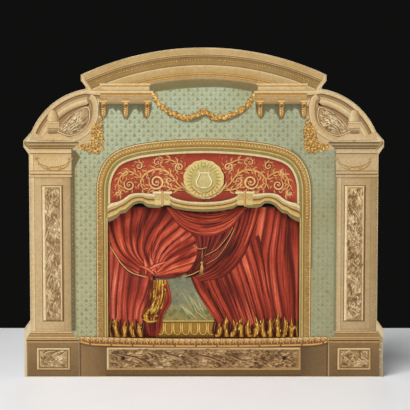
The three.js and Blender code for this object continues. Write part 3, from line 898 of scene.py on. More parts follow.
FRAME_HALF = [(146.3, 50.6), (146.3, 90), (146.3, 130), (146.3, 170), (146.3, 210), (146.2, 245), (145.4, 266),
              (141.8, 281), (136, 293), (127.5, 303.5), (114.2, 312), (98, 317.3), (84.8, 320.2), (62, 323.2),
              (41.6, 324.9), (20, 326), (0, 326.4)]
FRAME_WIDTH = 19.8  # from the frame's outer edge to the red field
POST_WIDTH = 15.2  # where the frame runs down beside the opening
FRAME_PATH = smooth(both_halves(FRAME_HALF), 4)
WALL_HALF = [(182, 50.6), (182, 150), (182, 250), (181, 322), (170, 330), (150, 345), (143, 372), (141, 392),
             (100, 398), (60, 401), (0, 408)]
VALANCE_TOP_HALF = [(131.5, 236), (126, 239.8), (118, 241.6), (111, 244.4), (106, 248), (101, 251.4), (93.8, 253.2),
                    (84, 253.4), (70, 252.6), (56, 251.5), (46, 249.5), (42.5, 247.6), (33, 244.4), (20, 242),
                    (0, 240.9)]


def wall_inks(grid):
    """Wallpaper ground: greyer green below, bluer above, with painted light: a little lighter on the left, darker
    towards the right.
    """
    height = np.clip((grid[..., 1] - 230) / 130, 0, 1)[..., None]
    # Painted light: lighter on the left and in the middle, darker towards the right.
    level = np.interp(grid[..., 0], (-180, 0, 120, 180), (1.03, 1.05, 0.98, 0.93))[..., None]
    return (np.array((174, 171, 132.0)) * (1 - height) + np.array((170, 177, 147.0)) * height) * level


def print_wall():
    """The wallpapered wall round the frame, with the shadows that the pilasters throw on it."""
    arch, outer = resample(FRAME_PATH, 90), resample(both_halves(WALL_HALF), 90)
    sheet = InkSheet(WALL_FACE)
    grid = arch[:, None] + (outer - arch)[:, None] * np.linspace(0, 1, 5)[None, :, None]
    sheet.patch(grid, wall_inks(grid), 1)
    sheet.object("print_wall")
    shades = InkSheet(WALL_FACE)
    shadow = (112, 98, 62)
    shades.pillars(64, 304, [(-181, shadow), (-176.4, shadow), (-174.8, (142, 132, 92)), (-174.0, (170, 166, 126))], 4)
    shades.between([(-177, 284), (-180, 290), (-181, 300), (-181, 312)],
                   [(-176, 284), (-173, 291), (-167, 302), (-173, 310)],
                   [(0, shadow), (0.8, shadow), (1, (140, 130, 92))], 5)
    shades.pillars(64, 310, [(176.9, (160, 160, 122)), (177.4, (146, 142, 104)), (181.4, (126, 118, 82))], 4)
    shades.ribbon(FRAME_PATH[10:40], [(-3.4, (160, 162, 128)), (-3.0, (146, 146, 112)), (-0.2, (120, 114, 78))], 4)
    shades.object("print_wall_shadows")
    grow("print_wall_sprigs", OVER, np.vstack([outer, arch[::-1]]), 3, sprig_motif(), {
        "Pitch across": sizes().sprig_pitch / 2, "Pitch up": sizes().sprig_pitch, "Seed": 5,
        "Size variation": 0.08, "Turn": 0.06, "Shade variation": 0.12})


def sprig_motif():
    """A three-leaved sprig with a dot halfway to the next one."""
    sheet = InkSheet()
    ink, dark = (154, 156, 121), (143, 145, 111)
    for angle, reach in ((90, 3.3), (205, 2.8), (335, 2.8)):
        sheet.leaf((0, 0), toward(math.radians(angle)) * reach, 2.2, 0.12, ink, dark)
    sheet.stroke([(0, 0.2), (0.1, -1.2), (0, -2.8)], 1.0, [ink, dark, ink], 0.5, 1)
    sheet.disc((0, 6.1), 0.85, (138, 139, 104), (126, 127, 94), 6)
    return sheet.motif("motif_sprig")


def ring_motif(name, rim, middle, width, height):
    """An oval boss of gilt, dark at its foot."""
    sheet = InkSheet()
    angles = even_angles(10)
    oval = toward(angles) * (width / 2, height / 2)
    sheet.shape(oval * 1.22, darker(DARK_GILT, 0.8))
    rims = [mix(rim, darker(rim, 0.6), 0.5 - 0.5 * math.sin(angle + 0.6)) for angle in angles]
    sheet.shape(oval, rims, (-width * 0.12, height * 0.12), middle, layer=1)
    return sheet.motif(name)


def guilloche_motif():
    """One link of a plaited gilt band, with a drop at each side."""
    sheet = InkSheet()
    for ring, ink in ((3.1, (120, 84, 34)), (2.4, (232, 196, 120)), (1.5, (126, 88, 38)), (0.8, (226, 188, 112))):
        sheet.disc((0, 0), ring, darker(ink, 0.85), ink, 10)
    for handed in (-1, 1):
        sheet.leaf((-3.1, handed * 2.6), (2.4, handed * 3.2), 1.3, 0.12 * handed, (228, 192, 126), (136, 100, 52))
        sheet.disc((3.2, handed * 1.2), 0.6, (156, 116, 62), (230, 194, 126), 6)
    return sheet.motif("motif_guilloche")


def print_frame():
    """The gilt frame round the opening and over the valance."""
    sheet = InkSheet(WALL_FACE)
    line = (104, 76, 36)
    posts = [(-0.4, line), (0.4, (126, 100, 46)), (0.8, (224, 194, 136)), (1.8, (228, 198, 140)), (2.2, (150, 112, 56)),
             (2.8, (200, 154, 84)), (6.2, (212, 168, 98)), (8.2, (178, 136, 68)), (9.4, (150, 112, 50)),
             (10.2, (120, 92, 38)), (10.8, (194, 166, 98)), (12.3, (204, 178, 112)), (12.8, (132, 112, 56)),
             (13.8, (144, 120, 62)), (14.2, (210, 184, 124)), (POST_WIDTH, (186, 164, 108))]
    arch = posts[:-2] + [(14.4, (150, 140, 88)), (16.0, (120, 112, 64)), (16.3, (224, 200, 146)),
                         (18.9, (222, 200, 148)), (19.2, (120, 70, 40)), (FRAME_WIDTH, (130, 50, 32))]
    split = np.flatnonzero(FRAME_PATH[:, 1] > VALANCE_FOOT + 2)
    first, last = split[0], split[-1]
    sheet.ribbon(FRAME_PATH[first:last + 1], arch, 6)
    for rows in (slice(0, first + 1), slice(last, None)):
        sheet.ribbon(FRAME_PATH[rows], posts, 6)
    sheet.object("print_frame")
    middle = beside(FRAME_PATH, [5.2])[:, 0]
    boss, bead = guilloche_motif(), ring_motif("motif_frame_bead", (192, 152, 76), (236, 202, 124), 3.0, 5.6)
    for part, rows, motif, pitch in (("left", slice(0, first + 1), boss, 1.0),
                                     ("arch", slice(first, last + 1), bead, 0.64),
                                     ("right", slice(last, None), boss, 1.0)):
        grow(f"print_frame_{part}_bosses", ALONG, middle[rows], 7, motif,
             {"Pitch": pitch * sizes().boss_pitch, "Seed": 3, "Shade variation": 0.07, "Size variation": 0.05})


def valance_lines():
    """The valance's lower edge and the top of its moulding, at the same places across."""
    reach = VALANCE_EDGE[-1, 0]
    x = np.unique(np.concatenate([np.linspace(-reach, reach, 150), VALANCE_EDGE[:, 0]]))
    top_half = smooth(VALANCE_TOP_HALF, 5)[::-1]
    top = np.interp(np.abs(x), top_half[:, 0], top_half[:, 1])
    lower = np.interp(x, VALANCE_EDGE[:, 0], VALANCE_EDGE[:, 1])
    return np.column_stack([x, lower + 0.25]), np.column_stack([x, top])


def print_valance():
    """The scalloped valance: a gilt moulding under a crimson field of scrolls."""
    lower, upper = valance_lines()
    sheet = InkSheet(WALL_FACE)
    khaki, cream, brown = (128, 118, 74), (218, 186, 118), (136, 96, 42)
    arch_inner = beside(FRAME_PATH, [FRAME_WIDTH - 0.6])[:, 0]
    rising = part_of(arch_inner, arch_inner[:, 1] > 225, 0)
    x = np.linspace(-126.6, 126.6, 70)
    head = np.interp(x, rising[:, 0], rising[:, 1])
    foot = np.interp(x, upper[:, 0], upper[:, 1]) - 2
    shares = [(0, DARK_CRIMSON), (0.08, (146, 50, 30)), (0.3, (176, 66, 38)), (0.62, (190, 78, 46)),
              (0.9, (164, 58, 34)), (1, (124, 42, 26))]
    sheet.between(np.column_stack([x, foot]), np.column_stack([x, head]), shares, layer=3)
    for side in (-1, 1):
        valance_scrolls(sheet, side)
    moulding = [(0, khaki), (0.14, (140, 128, 80)), (0.17, brown), (0.21, brown), (0.25, cream),
                (0.42, (206, 172, 104)), (0.48, (180, 144, 82)), (0.51, brown), (0.59, darker(brown, 0.85)),
                (0.62, (190, 164, 104)), (0.7, (206, 180, 122)), (0.73, (150, 116, 66)), (0.77, PALE),
                (0.95, (232, 214, 164)), (0.98, (110, 52, 26)), (1, DARK_CRIMSON)]
    sheet.between(lower, upper, moulding, layer=14)
    for side in (-1, 1):
        valance_bracket(sheet, side)
    sheet.object("print_valance")


def valance_bracket(sheet, side):
    """The little gilt bracket that stands on the moulding beside each notch."""
    low, high = across(side, 44.2, 68.2)
    sheet.bands(low - 1, high + 1, [(251.6, (120, 60, 30)), (252.2, PALE), (254.2, (242, 228, 180)), (255.3, CREAM)],
                15)
    sheet.bands(low + 1.6, high - 1.6, [(236.4, (206, 176, 112)), (240, (226, 200, 136)), (244, (212, 186, 124)),
                                        (251.6, (196, 166, 104))], 16)
    middle = (low + high) / 2
    sheet.pillars(234.8, 256.5, [(middle - 1.5, DARK_GILT), (middle - 0.4, BRIGHT_GILT), (middle + 0.5, GILT),
                                 (middle + 1.5, DARK_GILT)], 17)
    for reach in (-6.5, 6.5):
        curl = spiral((middle + reach, 246.5), 3.2, 1.2, 90, math.copysign(1, reach))
        sheet.stroke(curl, 1.1, [BRIGHT_GILT, DARK_GILT], 0.3, 17)


def valance_scrolls(sheet, side):
    """Acanthus scrolls on the crimson field, winding out from the medallion."""
    light, gold, dark = (240, 188, 112), (230, 186, 98), (112, 38, 22)
    field = mirrored([(24, 249), (60, 262), (96, 256), (122, 243), (125, 262), (113, 281), (92, 293), (48, 302),
                      (20, 306), (22, 280)], side)
    foliage(sheet, field, 2.8, 11 + side, (224, 124, 68), (130, 40, 24), 6.2, 4)
    stems = [([(20, 254), (34, 264), (46, 279), (60, 285), (76, 281), (85, 270), (82, 259), (72, 256)], 3.2),
             ([(82, 268), (90, 277), (102, 282), (112, 276), (116, 265), (112, 255), (118, 247)], 2.6),
             ([(26, 256), (40, 258), (50, 262), (54, 270)], 2.4), ([(40, 275), (34, 290), (46, 298), (60, 297)], 2.2)]
    for points, width in stems:
        path = mirrored(smooth(points, 6), side)
        sheet.stroke(path + (0.8, -0.9), width + 1.2, [dark, darker(dark, 0.8), dark], 0.4, 8)
        sheet.stroke(path, width, [gold, mix(light, CRIMSON, 0.2), mix(gold, dark, 0.5)], 0.4, 9)
        for i in range(4, len(path) - 2, 4):
            way = path[i + 1] - path[i]
            way /= np.linalg.norm(way)
            for turn in (-1, 1):
                out = way * 0.9 + turn * np.array([-way[1], way[0]]) * 0.7
                sheet.leaf(path[i], path[i] + out * 7.2, 3.4, turn * 0.3, light, (150, 58, 36), 10)
    curls = [((64, 268), 10.5, 2.0, 60, -1), ((101, 264), 7.6, 1.7, 100, -1), ((33, 288), 6.4, 1.5, 250, 1),
             ((88, 290), 5.6, 1.4, 10, 1), ((47, 270), 5.0, 1.4, 200, 1), ((117, 253), 4.4, 1.3, 60, 1),
             ((63, 295), 4.6, 1.3, 160, -1), ((107, 281), 4.0, 1.3, 30, -1)]
    for centre, radius, turns, start, handed in curls:
        curl = mirrored(spiral(centre, radius, turns, start, handed), side)
        sheet.stroke(curl + (0.7, -0.8), radius * 0.3, [dark, darker(dark, 0.8), dark], 0.3, 9)
        sheet.stroke(curl, radius * 0.22 + 0.3, [gold, (248, 208, 150), mix(light, dark, 0.5)], 0.3, 11)
        for step in range(8):
            angle = math.radians(start + 45 * step)
            root = centre + radius * toward(angle)
            tip = root + 0.7 * radius * toward(angle - 0.9 * handed)
            sheet.leaf(mirrored(root, side), mirrored(tip, side), radius * 0.34, 0.3 * side * handed, light,
                       (150, 58, 36), 10)
        sheet.disc(mirrored(centre, side), radius * 0.17, (206, 130, 80), (252, 218, 160), 8, layer=12)
    sheet.stroke([(side * 61, 255), (side * 61.4, 262), (side * 62.5, 268)], 1.4, [DARK_GILT, BRIGHT_GILT], 0.2, 13)


def print_medallion():
    """A shell of flutes with a plain lyre, over the middle of the valance."""
    sheet = InkSheet(WALL_FACE)
    centre = np.array([0, 271.5])
    angles = even_angles(96)
    lobes = 1 + 0.035 * np.abs(np.sin(angles * 7))
    taper = 1 - 0.16 * np.maximum(-np.sin(angles), 0) ** 1.5
    rim = centre + toward(angles) * np.column_stack([27 * lobes * taper, 26 * lobes])
    sheet.shape(centre + (rim - centre) * 1.04 + (0.8, -0.8), (96, 34, 22), layer=14)
    sheet.shape(rim, (226, 202, 132), centre, (204, 182, 112), 15)
    for i in range(28):
        angle = TAU * (i + 0.5) / 28
        way = toward(angle)
        tone = 0.5 + 0.5 * math.cos(angle - math.radians(130))
        light = mix((196, 174, 104), (228, 210, 142), tone)
        sheet.leaf(centre + way * 11, centre + way * 24.2, 4.6, 0.02, light, (164, 146, 80), 16)
    sheet.shape(centre + toward(angles) * 17, (194, 174, 104), centre + (-4, 4), (212, 194, 126), 17)
    pale, dark = (250, 240, 198), (128, 108, 58)
    for side in (-1, 1):
        arm = [(1.0, 260.5), (7.6, 262.0), (10.2, 268.5), (7.2, 275.5), (5.6, 281), (9.0, 285.5)]
        arm = smooth(mirrored(arm, side), 5)
        sheet.stroke(arm + (0.6, -0.6), 3.2, [dark, dark], 0.5, 18)
        sheet.stroke(arm, 2.8, [pale, (236, 222, 172), mix(pale, dark, 0.5)], 0.5, 19)
        sheet.disc(arm[-1], 1.9, dark, pale, 8, layer=20)
        for root, tip in (((1, 247), (13, 249)), ((4, 248), (20, 252.5)), ((10, 250), (27, 259)),
                          ((17, 254), (31, 268)), ((2, 252), (12, 258.5)), ((8, 255), (17, 265))):
            sheet.leaf(mirrored(root, side), mirrored(tip, side), 3.4, -0.2 * side, (240, 216, 150), (146, 106, 50),
                       19)
    sheet.bands(-8, 8, [(279.4, dark), (280.0, pale), (281.6, (222, 206, 142)), (282, dark)], 19)
    for x in (-2.7, -0.9, 0.9, 2.7):
        sheet.pillars(263.5, 280, [(x - 0.3, dark), (x + 0.3, pale)], 18)
    sheet.bands([-5.5, -4.2], [5.5, 4.2], [(258.0, dark), (261.2, pale)], 19)
    sheet.disc((0, 246.8), 2.6, (140, 116, 60), (244, 226, 164), 10, layer=21)
    sheet.disc((0, 291), 3.2, (140, 122, 64), (240, 226, 168), 10, layer=19)
    sheet.object("print_medallion")


# Gable, shoulders and garlands


def print_gable():
    """The arched gable with its beaded moulding, and the two blocks that it stands on."""
    sheet = InkSheet(WALL_FACE)
    arc = GABLE_ARC[::-1]
    stops = [(0.9, TAN), (1.6, PALE), (2.4, (194, 163, 108)), (8.4, (186, 154, 98)), (9.1, PALE), (9.4, DARK_UMBER),
             (10.2, UMBER), (11.6, TAN), (12.0, LINE), (13.0, (136, 106, 56)), (14.4, (148, 118, 66)),
             (18.2, (150, 120, 70)), (19.0, (158, 128, 78)), (22.6, (150, 118, 66)), (23.2, DARK_UMBER),
             (24.0, PALE), (25.5, (196, 166, 112)), (32.0, (186, 154, 100)), (33.4, TAN), (34.0, DARK_GILT),
             (34.8, BRIGHT_GILT), (35.6, DARK_GILT), (36.3, GILT), (37.0, DARK_GILT), (37.8, BRIGHT_GILT),
             (38.6, DARK_GILT), (39.2, TAN), (42.4, (168, 140, 98))]
    sheet.ribbon(arc, stops, 4)
    rim = beside(arc, [42.2])[:, 0]
    rim = rim[np.abs(rim[:, 0]) < 76][::-1]
    foot = smooth([(-76, 388.5), (-60, 390.8), (-30, 394.2), (0, 396.0), (30, 395.6), (60, 391.2), (76, 387)], 6)
    x = np.linspace(-75, 75, 26)
    shadow = [(0, (140, 136, 98)), (0.12, (120, 112, 74)), (0.8, (128, 114, 74)), (1, (144, 120, 78))]
    sheet.between(np.column_stack([x, np.interp(x, foot[:, 0], foot[:, 1])]),
                  np.column_stack([x, np.interp(x, rim[:, 0], rim[:, 1])]), shadow, layer=5)
    for side in (-1, 1):
        edge = [(165.3, 412.6), (164.9, 405.6), (159.2, 397.6), (156.0, 392.4)]
        inner = [(159.8, 409.4), (158.6, 404.6), (153.8, 398.6), (149.5, 392.0)]
        sheet.between(mirrored(edge, side), mirrored(inner, side),
                      [(0, TAN), (0.15, PALE), (0.6, CREAM), (0.8, TAN), (1, UMBER)], layer=5)
        entablature(sheet, side)
    sheet.object("print_gable")
    beads = beside(arc, [16.2])[:, 0]
    bead = ring_motif("motif_bead", (182, 144, 74), (222, 184, 104), 2.7, 2.3)
    grow("print_gable_beads", ALONG, beads[np.abs(beads[:, 0]) < 152], 5, bead,
         {"Pitch": sizes().bead_pitch, "Seed": 8, "Shade variation": 0.12, "Size variation": 0.1})


def entablature(sheet, side):
    """The block under one end of the gable, with three gilt consoles and their ragged shadow."""
    ragged = [(70.2, 366), (73, 358), (77, 352.5), (81.5, 356), (84, 364), (88, 362), (91, 367), (95, 366),
              (99, 359), (103, 352), (108, 353.5), (111, 362), (115, 366), (119, 363), (123, 368), (128, 366),
              (131, 357), (136, 352.5), (140.5, 358), (141.5, 366)]
    teeth = mirrored(ragged, side)
    sheet.between(teeth, np.column_stack([teeth[:, 0], np.full(len(teeth), 377.0)]),
                  [(0, (120, 118, 88)), (0.3, (106, 102, 74)), (1, (88, 80, 54))], 5)
    sheet.bands(*across(side, 70.8, 139.8), [
        (373.6, (140, 114, 74)), (376, (166, 136, 92)), (380.6, (182, 152, 104)), (384.0, (194, 164, 114)),
        (384.5, DARK_GILT), (385.2, (222, 182, 110)), (386.2, GILT), (386.9, (128, 84, 36)),
        (387.5, (208, 160, 90)), (388.3, (112, 72, 30))], 7)
    for i in range(30):
        place = (71.6 + i * 2.3) * side
        sheet.pillars(376, 384, [(place - 0.35, (160, 128, 82)), (place + 0.35, (206, 174, 124))], 7.95)
    sheet.bands(*across(side, 68.2, 145.4), [(388.3, LINE), (388.8, PALE), (391.0, PALE), (391.3, UMBER)], 8)
    sheet.bands(*across(side, 73.4, 138.0), [
        (391.3, (150, 118, 74)), (392.2, (200, 172, 122)), (396.6, (220, 192, 142)), (397.0, (206, 174, 120)),
        (397.4, (160, 118, 58)), (398.4, (196, 156, 86)), (398.8, (216, 180, 118)), (399.1, DARK_GILT)], 8)
    sheet.bands(*across(side, 71.6, 140.6), [(399.1, TAN), (399.6, PALE), (401.2, (226, 198, 148)), (401.5, LINE)], 9)
    for place in (76.5, 105.3, 135.6):
        console(sheet, place * side)


def turned_block(middle, levels):
    """Points five across at each level, given as pairs of height and half width."""
    return [[(middle + share * half, height) for share in (-1, -0.5, 0, 0.5, 1)] for height, half in levels]


def console(sheet, x):
    """A gilt scrolled bracket under the blocks."""
    dark, gold, pale = (112, 74, 32), (212, 166, 90), (246, 216, 148)
    sheet.bands(x - 4.8, x + 4.8, [(375.6, dark), (376.4, gold), (378, pale), (378.6, dark), (380.2, gold),
                                   (381, dark)], 10)
    grid = turned_block(x, ((354.5, 0.8), (357, 2.5), (360, 3.6), (364, 3.9), (368, 3.5), (372, 3.7), (375.6, 4.2)))
    sheet.patch(grid, [darker(dark, 0.8), gold, pale, gold, darker(dark, 0.7)], 9)
    sheet.disc((x, 371.6), 2.7, dark, gold, 10, 11)
    sheet.disc((x + 0.3, 371.4), 1.3, darker(dark, 0.7), dark, 8, 12)
    sheet.leaf((x, 368), (x, 355.4), 4.4, 0.0, pale, gold, 11)
    for k, level in enumerate((368.6, 366.0, 363.2, 360.6, 358.4)):
        reach = 3.3 - k * 0.45
        sheet.stroke([(x - reach, level + 1.3), (x, level), (x + reach, level - 1.5)], 1.3, [(150, 96, 48), dark],
                     0.5, 12.95)
    sheet.disc((x, 356.6), 1.7, dark, gold, 8, 13)


def garland_leaf_motif(name, light, dark):
    """One pointed leaf, its root at the origin."""
    sheet = InkSheet()
    sheet.leaf((-1.6, 0), (2.6, 0.2), 2.2, 0.12, light, dark)
    return sheet.motif(name)


def blossom_motif(name, light, dark):
    """A small flower of five petals."""
    sheet = InkSheet()
    for petal in range(5):
        sheet.disc(toward(TAU * petal / 5) * 0.95, 0.85, mix(light, dark, 0.5), light, 6)
    sheet.disc((0, 0), 0.6, dark, mix(light, dark, 0.4), 6, layer=1)
    return sheet.motif(name)


GARLAND_HALF = [(69.5, 386.5), (63.5, 378), (57, 370.6), (49, 364.3), (41.5, 360.3), (30, 356.2), (19, 355.2),
                (10, 357.6), (4, 362.0), (0, 365)]
CLUSTER = [(137.5, 354), (141.5, 354), (144.5, 348), (150, 344), (153.5, 337), (152.5, 328), (156, 321),
           (168, 318), (171, 313.5), (162, 311), (152, 308), (144, 306.5), (137, 312), (135.5, 324), (136, 340)]


def print_garlands():
    """The swag under the gable and the flower drops beside it, as leaves and blossoms along a line."""
    dark_leaf = garland_leaf_motif("motif_dark_leaf", (168, 122, 58), (118, 86, 44))
    gilt_leaf = garland_leaf_motif("motif_gilt_leaf", (236, 190, 96), (170, 108, 40))
    blossom = blossom_motif("motif_blossom", (252, 220, 136), (200, 140, 58))
    kinds = (("leaves", dark_leaf, 9, 0.00375, 0.001), ("gilt", gilt_leaf, 12, 0.003, 0.0008),
             ("blossoms", blossom, 15, 0.0024, 0.0034))
    common = {"Turn": math.pi, "Size variation": 0.3, "Shade variation": 0.2, "Depth": 0.0002}
    swag = smooth(both_halves(GARLAND_HALF), 6)
    shade = InkSheet(WALL_FACE, 7)
    shade.stroke(swag + (2.2, -3.0), 8.4, [(128, 126, 94), (104, 102, 72), (128, 126, 94)])
    shade.stroke(swag, 6.0, [(108, 76, 34), (214, 164, 80), (236, 190, 104), (196, 134, 60), (110, 78, 36)], 0.6)
    shade.object("print_swag_shade")
    for label, motif, layer, spread, pitch in kinds:
        grow(f"print_swag_{label}", ALONG, swag, layer, motif,
             {**common, "Pitch": pitch, "Spread": spread, "Size": 0.86, "Seed": 20 + layer})
        for name, side in SIDES:
            grow(f"print_{name}_drop_{label}", OVER, sided(CLUSTER, side), layer + 8, motif,
                 {**common, "Pitch across": pitch + 0.0014, "Pitch up": pitch + 0.0016, "Spread": 0.0016,
                  "Size": 0.72, "Seed": 30 + layer})


def print_shoulder(name, side):
    """One shoulder: arched mouldings, a carved leaf panel in a scroll, and a small obelisk."""
    sheet = InkSheet(WALL_FACE)
    arc = sided(np.vstack([SHOULDER_ARC, [(150, 392.4), (141, 391.7), (132, 391.4)]]), side)
    spandrel = [(236, 324.6), (233, 336), (200, 350), (165, 385), (150, 391.5), (141.5, 391.5), (140.2, 374),
                (139.6, 350), (142.5, 333), (149, 320), (157, 311.5), (166, 310.6), (177.4, 312.8), (177.4, 323)]
    sheet.shape(mirrored(spandrel, side), CREAM, (side * 172, 342), (200, 172, 126), 4)
    sheet.ribbon(arc, [(0.9, CREAM), (2.0, PALE), (6.0, CREAM), (6.3, LINE), (7.2, DARK_UMBER), (7.5, UMBER),
                       (10.2, (162, 128, 84)), (10.7, DARK_UMBER), (11.2, PALE), (12.2, TAN), (15.4, PALE),
                       (17.8, CREAM), (20.2, TAN), (21.2, UMBER), (21.8, DARK_UMBER), (22.6, DARK_UMBER),
                       (23.0, (150, 116, 76)), (34, (176, 146, 102))], 5)
    field_edge = beside(sided(SHOULDER_ARC, side), [22.8])[:, 0]
    scroll = smooth([(154.5, 383), (149.8, 379.5), (147.4, 371), (147.6, 362), (149.4, 352), (154, 343), (163, 334.4),
                     (174, 328.4), (184, 325.4)], 5)
    sheet.between(resample(field_edge, 40), resample(sided(scroll[::-1], side), 40),
                  [(0, (150, 116, 76)), (0.5, (178, 148, 104)), (1, (150, 118, 78))], 6)
    sheet.ribbon(sided(scroll, side), [(-5.2, (150, 116, 76)), (-4.8, LINE), (-4.4, (224, 198, 150)), (-1.2, CREAM),
                                       (2.2, (196, 166, 118)), (3.6, UMBER), (4.2, DARK_UMBER)], 7)
    panel = smooth([(199.5, 336.2), (191, 348.5), (180, 359), (168, 366.5), (156.2, 370.2), (153.4, 361),
                    (154.6, 350.2), (161, 340.4), (172, 332.4), (186, 330.6), (199.5, 336.2)], 4)[:-1]
    middle = np.array([173, 349])
    for share, ink, layer in ((1.012, UMBER, 8), (0.97, (224, 198, 150), 9), (0.91, DARK_UMBER, 10),
                              (0.87, (176, 144, 100), 11)):
        sheet.shape(mirrored(middle + (panel - middle) * share, side), ink, mirrored(middle, side), layer=layer)
    carved = mirrored(middle + (panel - middle) * 0.84, side)
    relief(sheet, carved, 1.6, 40 + side, CARVED, 7.0, 12, heading=-38 * side, stray=34)
    for root, tip, bend in (((192, 338), (162, 363), 0.16), ((184, 336), (161, 350), -0.2),
                            ((176, 344), (171, 360), 0.2), ((190, 341), (176, 357), -0.1),
                            ((180, 337), (167, 341), -0.2)):
        sheet.leaf(mirrored(root, side), mirrored(tip, side), 2.6, bend * side, (246, 226, 180), (112, 82, 48), 16)
    sheet.disc(mirrored((152.6, 379.4), side), 5.4, (150, 118, 78), (164, 132, 90), 12, 6.9)
    obelisk(sheet, side)
    sheet.object(f"print_{name}_shoulder")


PILASTER_AXIS = 204  # how far the middle of a pilaster's shaft lies from the middle of the front


def obelisk(sheet, side):
    """The small obelisk on its domed block, over the pilaster."""
    dome = smooth([(178, 324.4), (184, 328.6), (196, 333.6), (207, 335.2), (216, 332.6), (222, 328.2),
                   (225.5, 324.4)], 4)
    sheet.shape(mirrored(dome, side), CREAM, (side * 203, 327), (214, 186, 138), 17)
    sheet.bands(*across(side, 198.8, 210.4), [(333.0, TAN), (334.4, LINE), (334.8, UMBER), (338.6, (168, 136, 94)),
                                              (339.0, CREAM), (340.6, LINE)], 18)
    sheet.bands(*across(side, 195.8, 211.9), [(340.4, UMBER), (341.2, CREAM), (346.8, CREAM), (347.3, LINE),
                                              (347.8, PALE), (349.6, CREAM), (350.0, LINE)], 18)
    middle = np.array([PILASTER_AXIS * side, 357])
    grid = np.array(turned_block(middle[0], ((350, 8.0), (354, 8.0), (358, 7.2), (362, 6.0), (364.5, 4.4),
                                             (365.6, 2.2))))
    sheet.patch(grid, LINE, 17.5)
    sheet.patch(middle + (grid - middle) * 0.985, [CREAM, PALE, (206, 178, 130), TAN, UMBER], 18.5)


def print_worn_and_lit_edge():
    """The pale rim along the card's outline, partly worn edge and partly painted highlight where light catches the cut
    edge, with flecks where the print has come off beside it.
    """
    start = np.argmax(OUTLINE[:, 0] - 9 * OUTLINE[:, 1])
    edge = np.roll(OUTLINE, -start, axis=0)
    edge = edge[edge[:, 1] > 2]
    chance = random.Random(15)
    sheet = InkSheet(WALL_FACE)
    shade = [chance.uniform(0.84, 1.03) for place in edge]
    # Pale rim: worn edge and painted highlight along the cut edge, each row a little lighter or darker at random.
    sheet.ribbon(edge, [(0.15, (222, 202, 160)), (0.8, (226, 204, 160)), (1.0, (176, 146, 102))], 24, shade)
    sheet.object("print_edge")
    fleck = InkSheet()
    fleck.shape([(-0.9, -0.2), (-0.3, -0.5), (0.5, -0.35), (1.0, 0.1), (0.3, 0.5), (-0.5, 0.35)], (222, 204, 166),
                (0, 0), (238, 224, 192))
    grow("print_edge_wear", ALONG, beside(edge, [1.7])[:, 0], 26, fleck.motif("motif_fleck"), {
        "Pitch": 0.0034, "Spread": 0.0005, "Turn": 0.6, "Seed": 6, "Size": 0.65, "Size variation": 0.6,
        "Shade variation": 0.1, "Depth": 0.0001})


# Pilasters, plinths and base

PILASTER_LIGHT = {-1: 1.0, 1: 0.935}  # the right-hand one stands a little in the shade


def print_pilaster(name, side):
    """One pilaster: capital with a festoon, a shaft with its carved panel, and the base moulding."""
    sheet = InkSheet(WALL_FACE)
    dim = PILASTER_LIGHT[side]
    left, right = across(side, 181.0, 236.3)
    shaft = [(left, CREAM), (left + 5.6, PALE), (left + 6.1, (146, 112, 70)), (left + 6.6, CREAM), (left + 26, CREAM),
             (right - 9.4, (196, 166, 120)), (right - 9.0, (142, 110, 70)), (right - 8.6, (190, 160, 114)),
             (right - 0.8, (180, 150, 104)), (right - 0.3, LINE)]
    sheet.pillars(62.8, 275.4, [(x, darker(ink, dim)) for x, ink in shaft], 4)
    for height in (66.5, 272.5):
        sheet.bands(left + 6.4, right - 9.2, [(height - 0.25, UMBER), (height + 0.25, UMBER)], 5)
    (left, right), foot, head = across(side, 191.9, 219.6), 77.8, 262.9
    sheet.bands(left - 0.8, right + 0.8, [(foot - 0.8, LINE), (head + 0.8, LINE)], 4.95)
    bevelled_panel(sheet, (left, foot), (right, head), 2.0, (234, 208, 160), (150, 114, 70), (182, 150, 106), 5.9)
    for stops in ([(left, (196, 164, 112)), (left + 0.5, (244, 222, 178)), (left + 3.2, (232, 206, 158)),
                   (left + 3.7, TAN)],
                  [(right - 3.4, TAN), (right - 2.9, (232, 208, 160)), (right - 1.9, (226, 198, 148)),
                   (right - 1.5, (132, 98, 54)), (right, (122, 88, 48))]):
        sheet.pillars(foot + 0.6, head - 0.6, stops, 7.9)
    low, high = (left + 3.8, foot + 2.2), (right - 3.5, head - 2.2)
    # Painted light: the left-hand panel's carving is printed paler, as the light falls from the left.
    inks = [mix(ink, PALE, 0.14) for ink in CARVED] if side < 0 else CARVED
    relief(sheet, rectangle(low, high), 1.75, 60 + side, inks, 7.0, 8.9, heading=70 * side, stray=36)
    branches(sheet, low, high, 5, 70 + side, (17 * side, -24), inks, 13)
    capital(sheet, side, dim)
    stops = [(63.4, LINE), (62.7, PALE), (60.9, CREAM), (60.5, DARK_UMBER), (59.5, UMBER), (59.1, (190, 154, 98)),
             (57.6, TAN), (57.2, DARK_UMBER), (56.2, UMBER), (55.8, CREAM), (54.4, PALE), (54.0, (130, 94, 48)),
             (53.2, GILT), (52.2, PALE), (51.6, LINE)]
    shares = np.array([(63.4 - height) / 11.8 for height, ink in stops])
    ends = [side * (near + (far - near) * shares) for near, far in ((181.8, 171.6), (236.6, 243.4))]
    sheet.bands(*ends[::side], [(height, darker(mix(ink, (200, 146, 58), 0.16), dim)) for height, ink in stops], 6)
    sheet.object(f"print_{name}_pilaster")


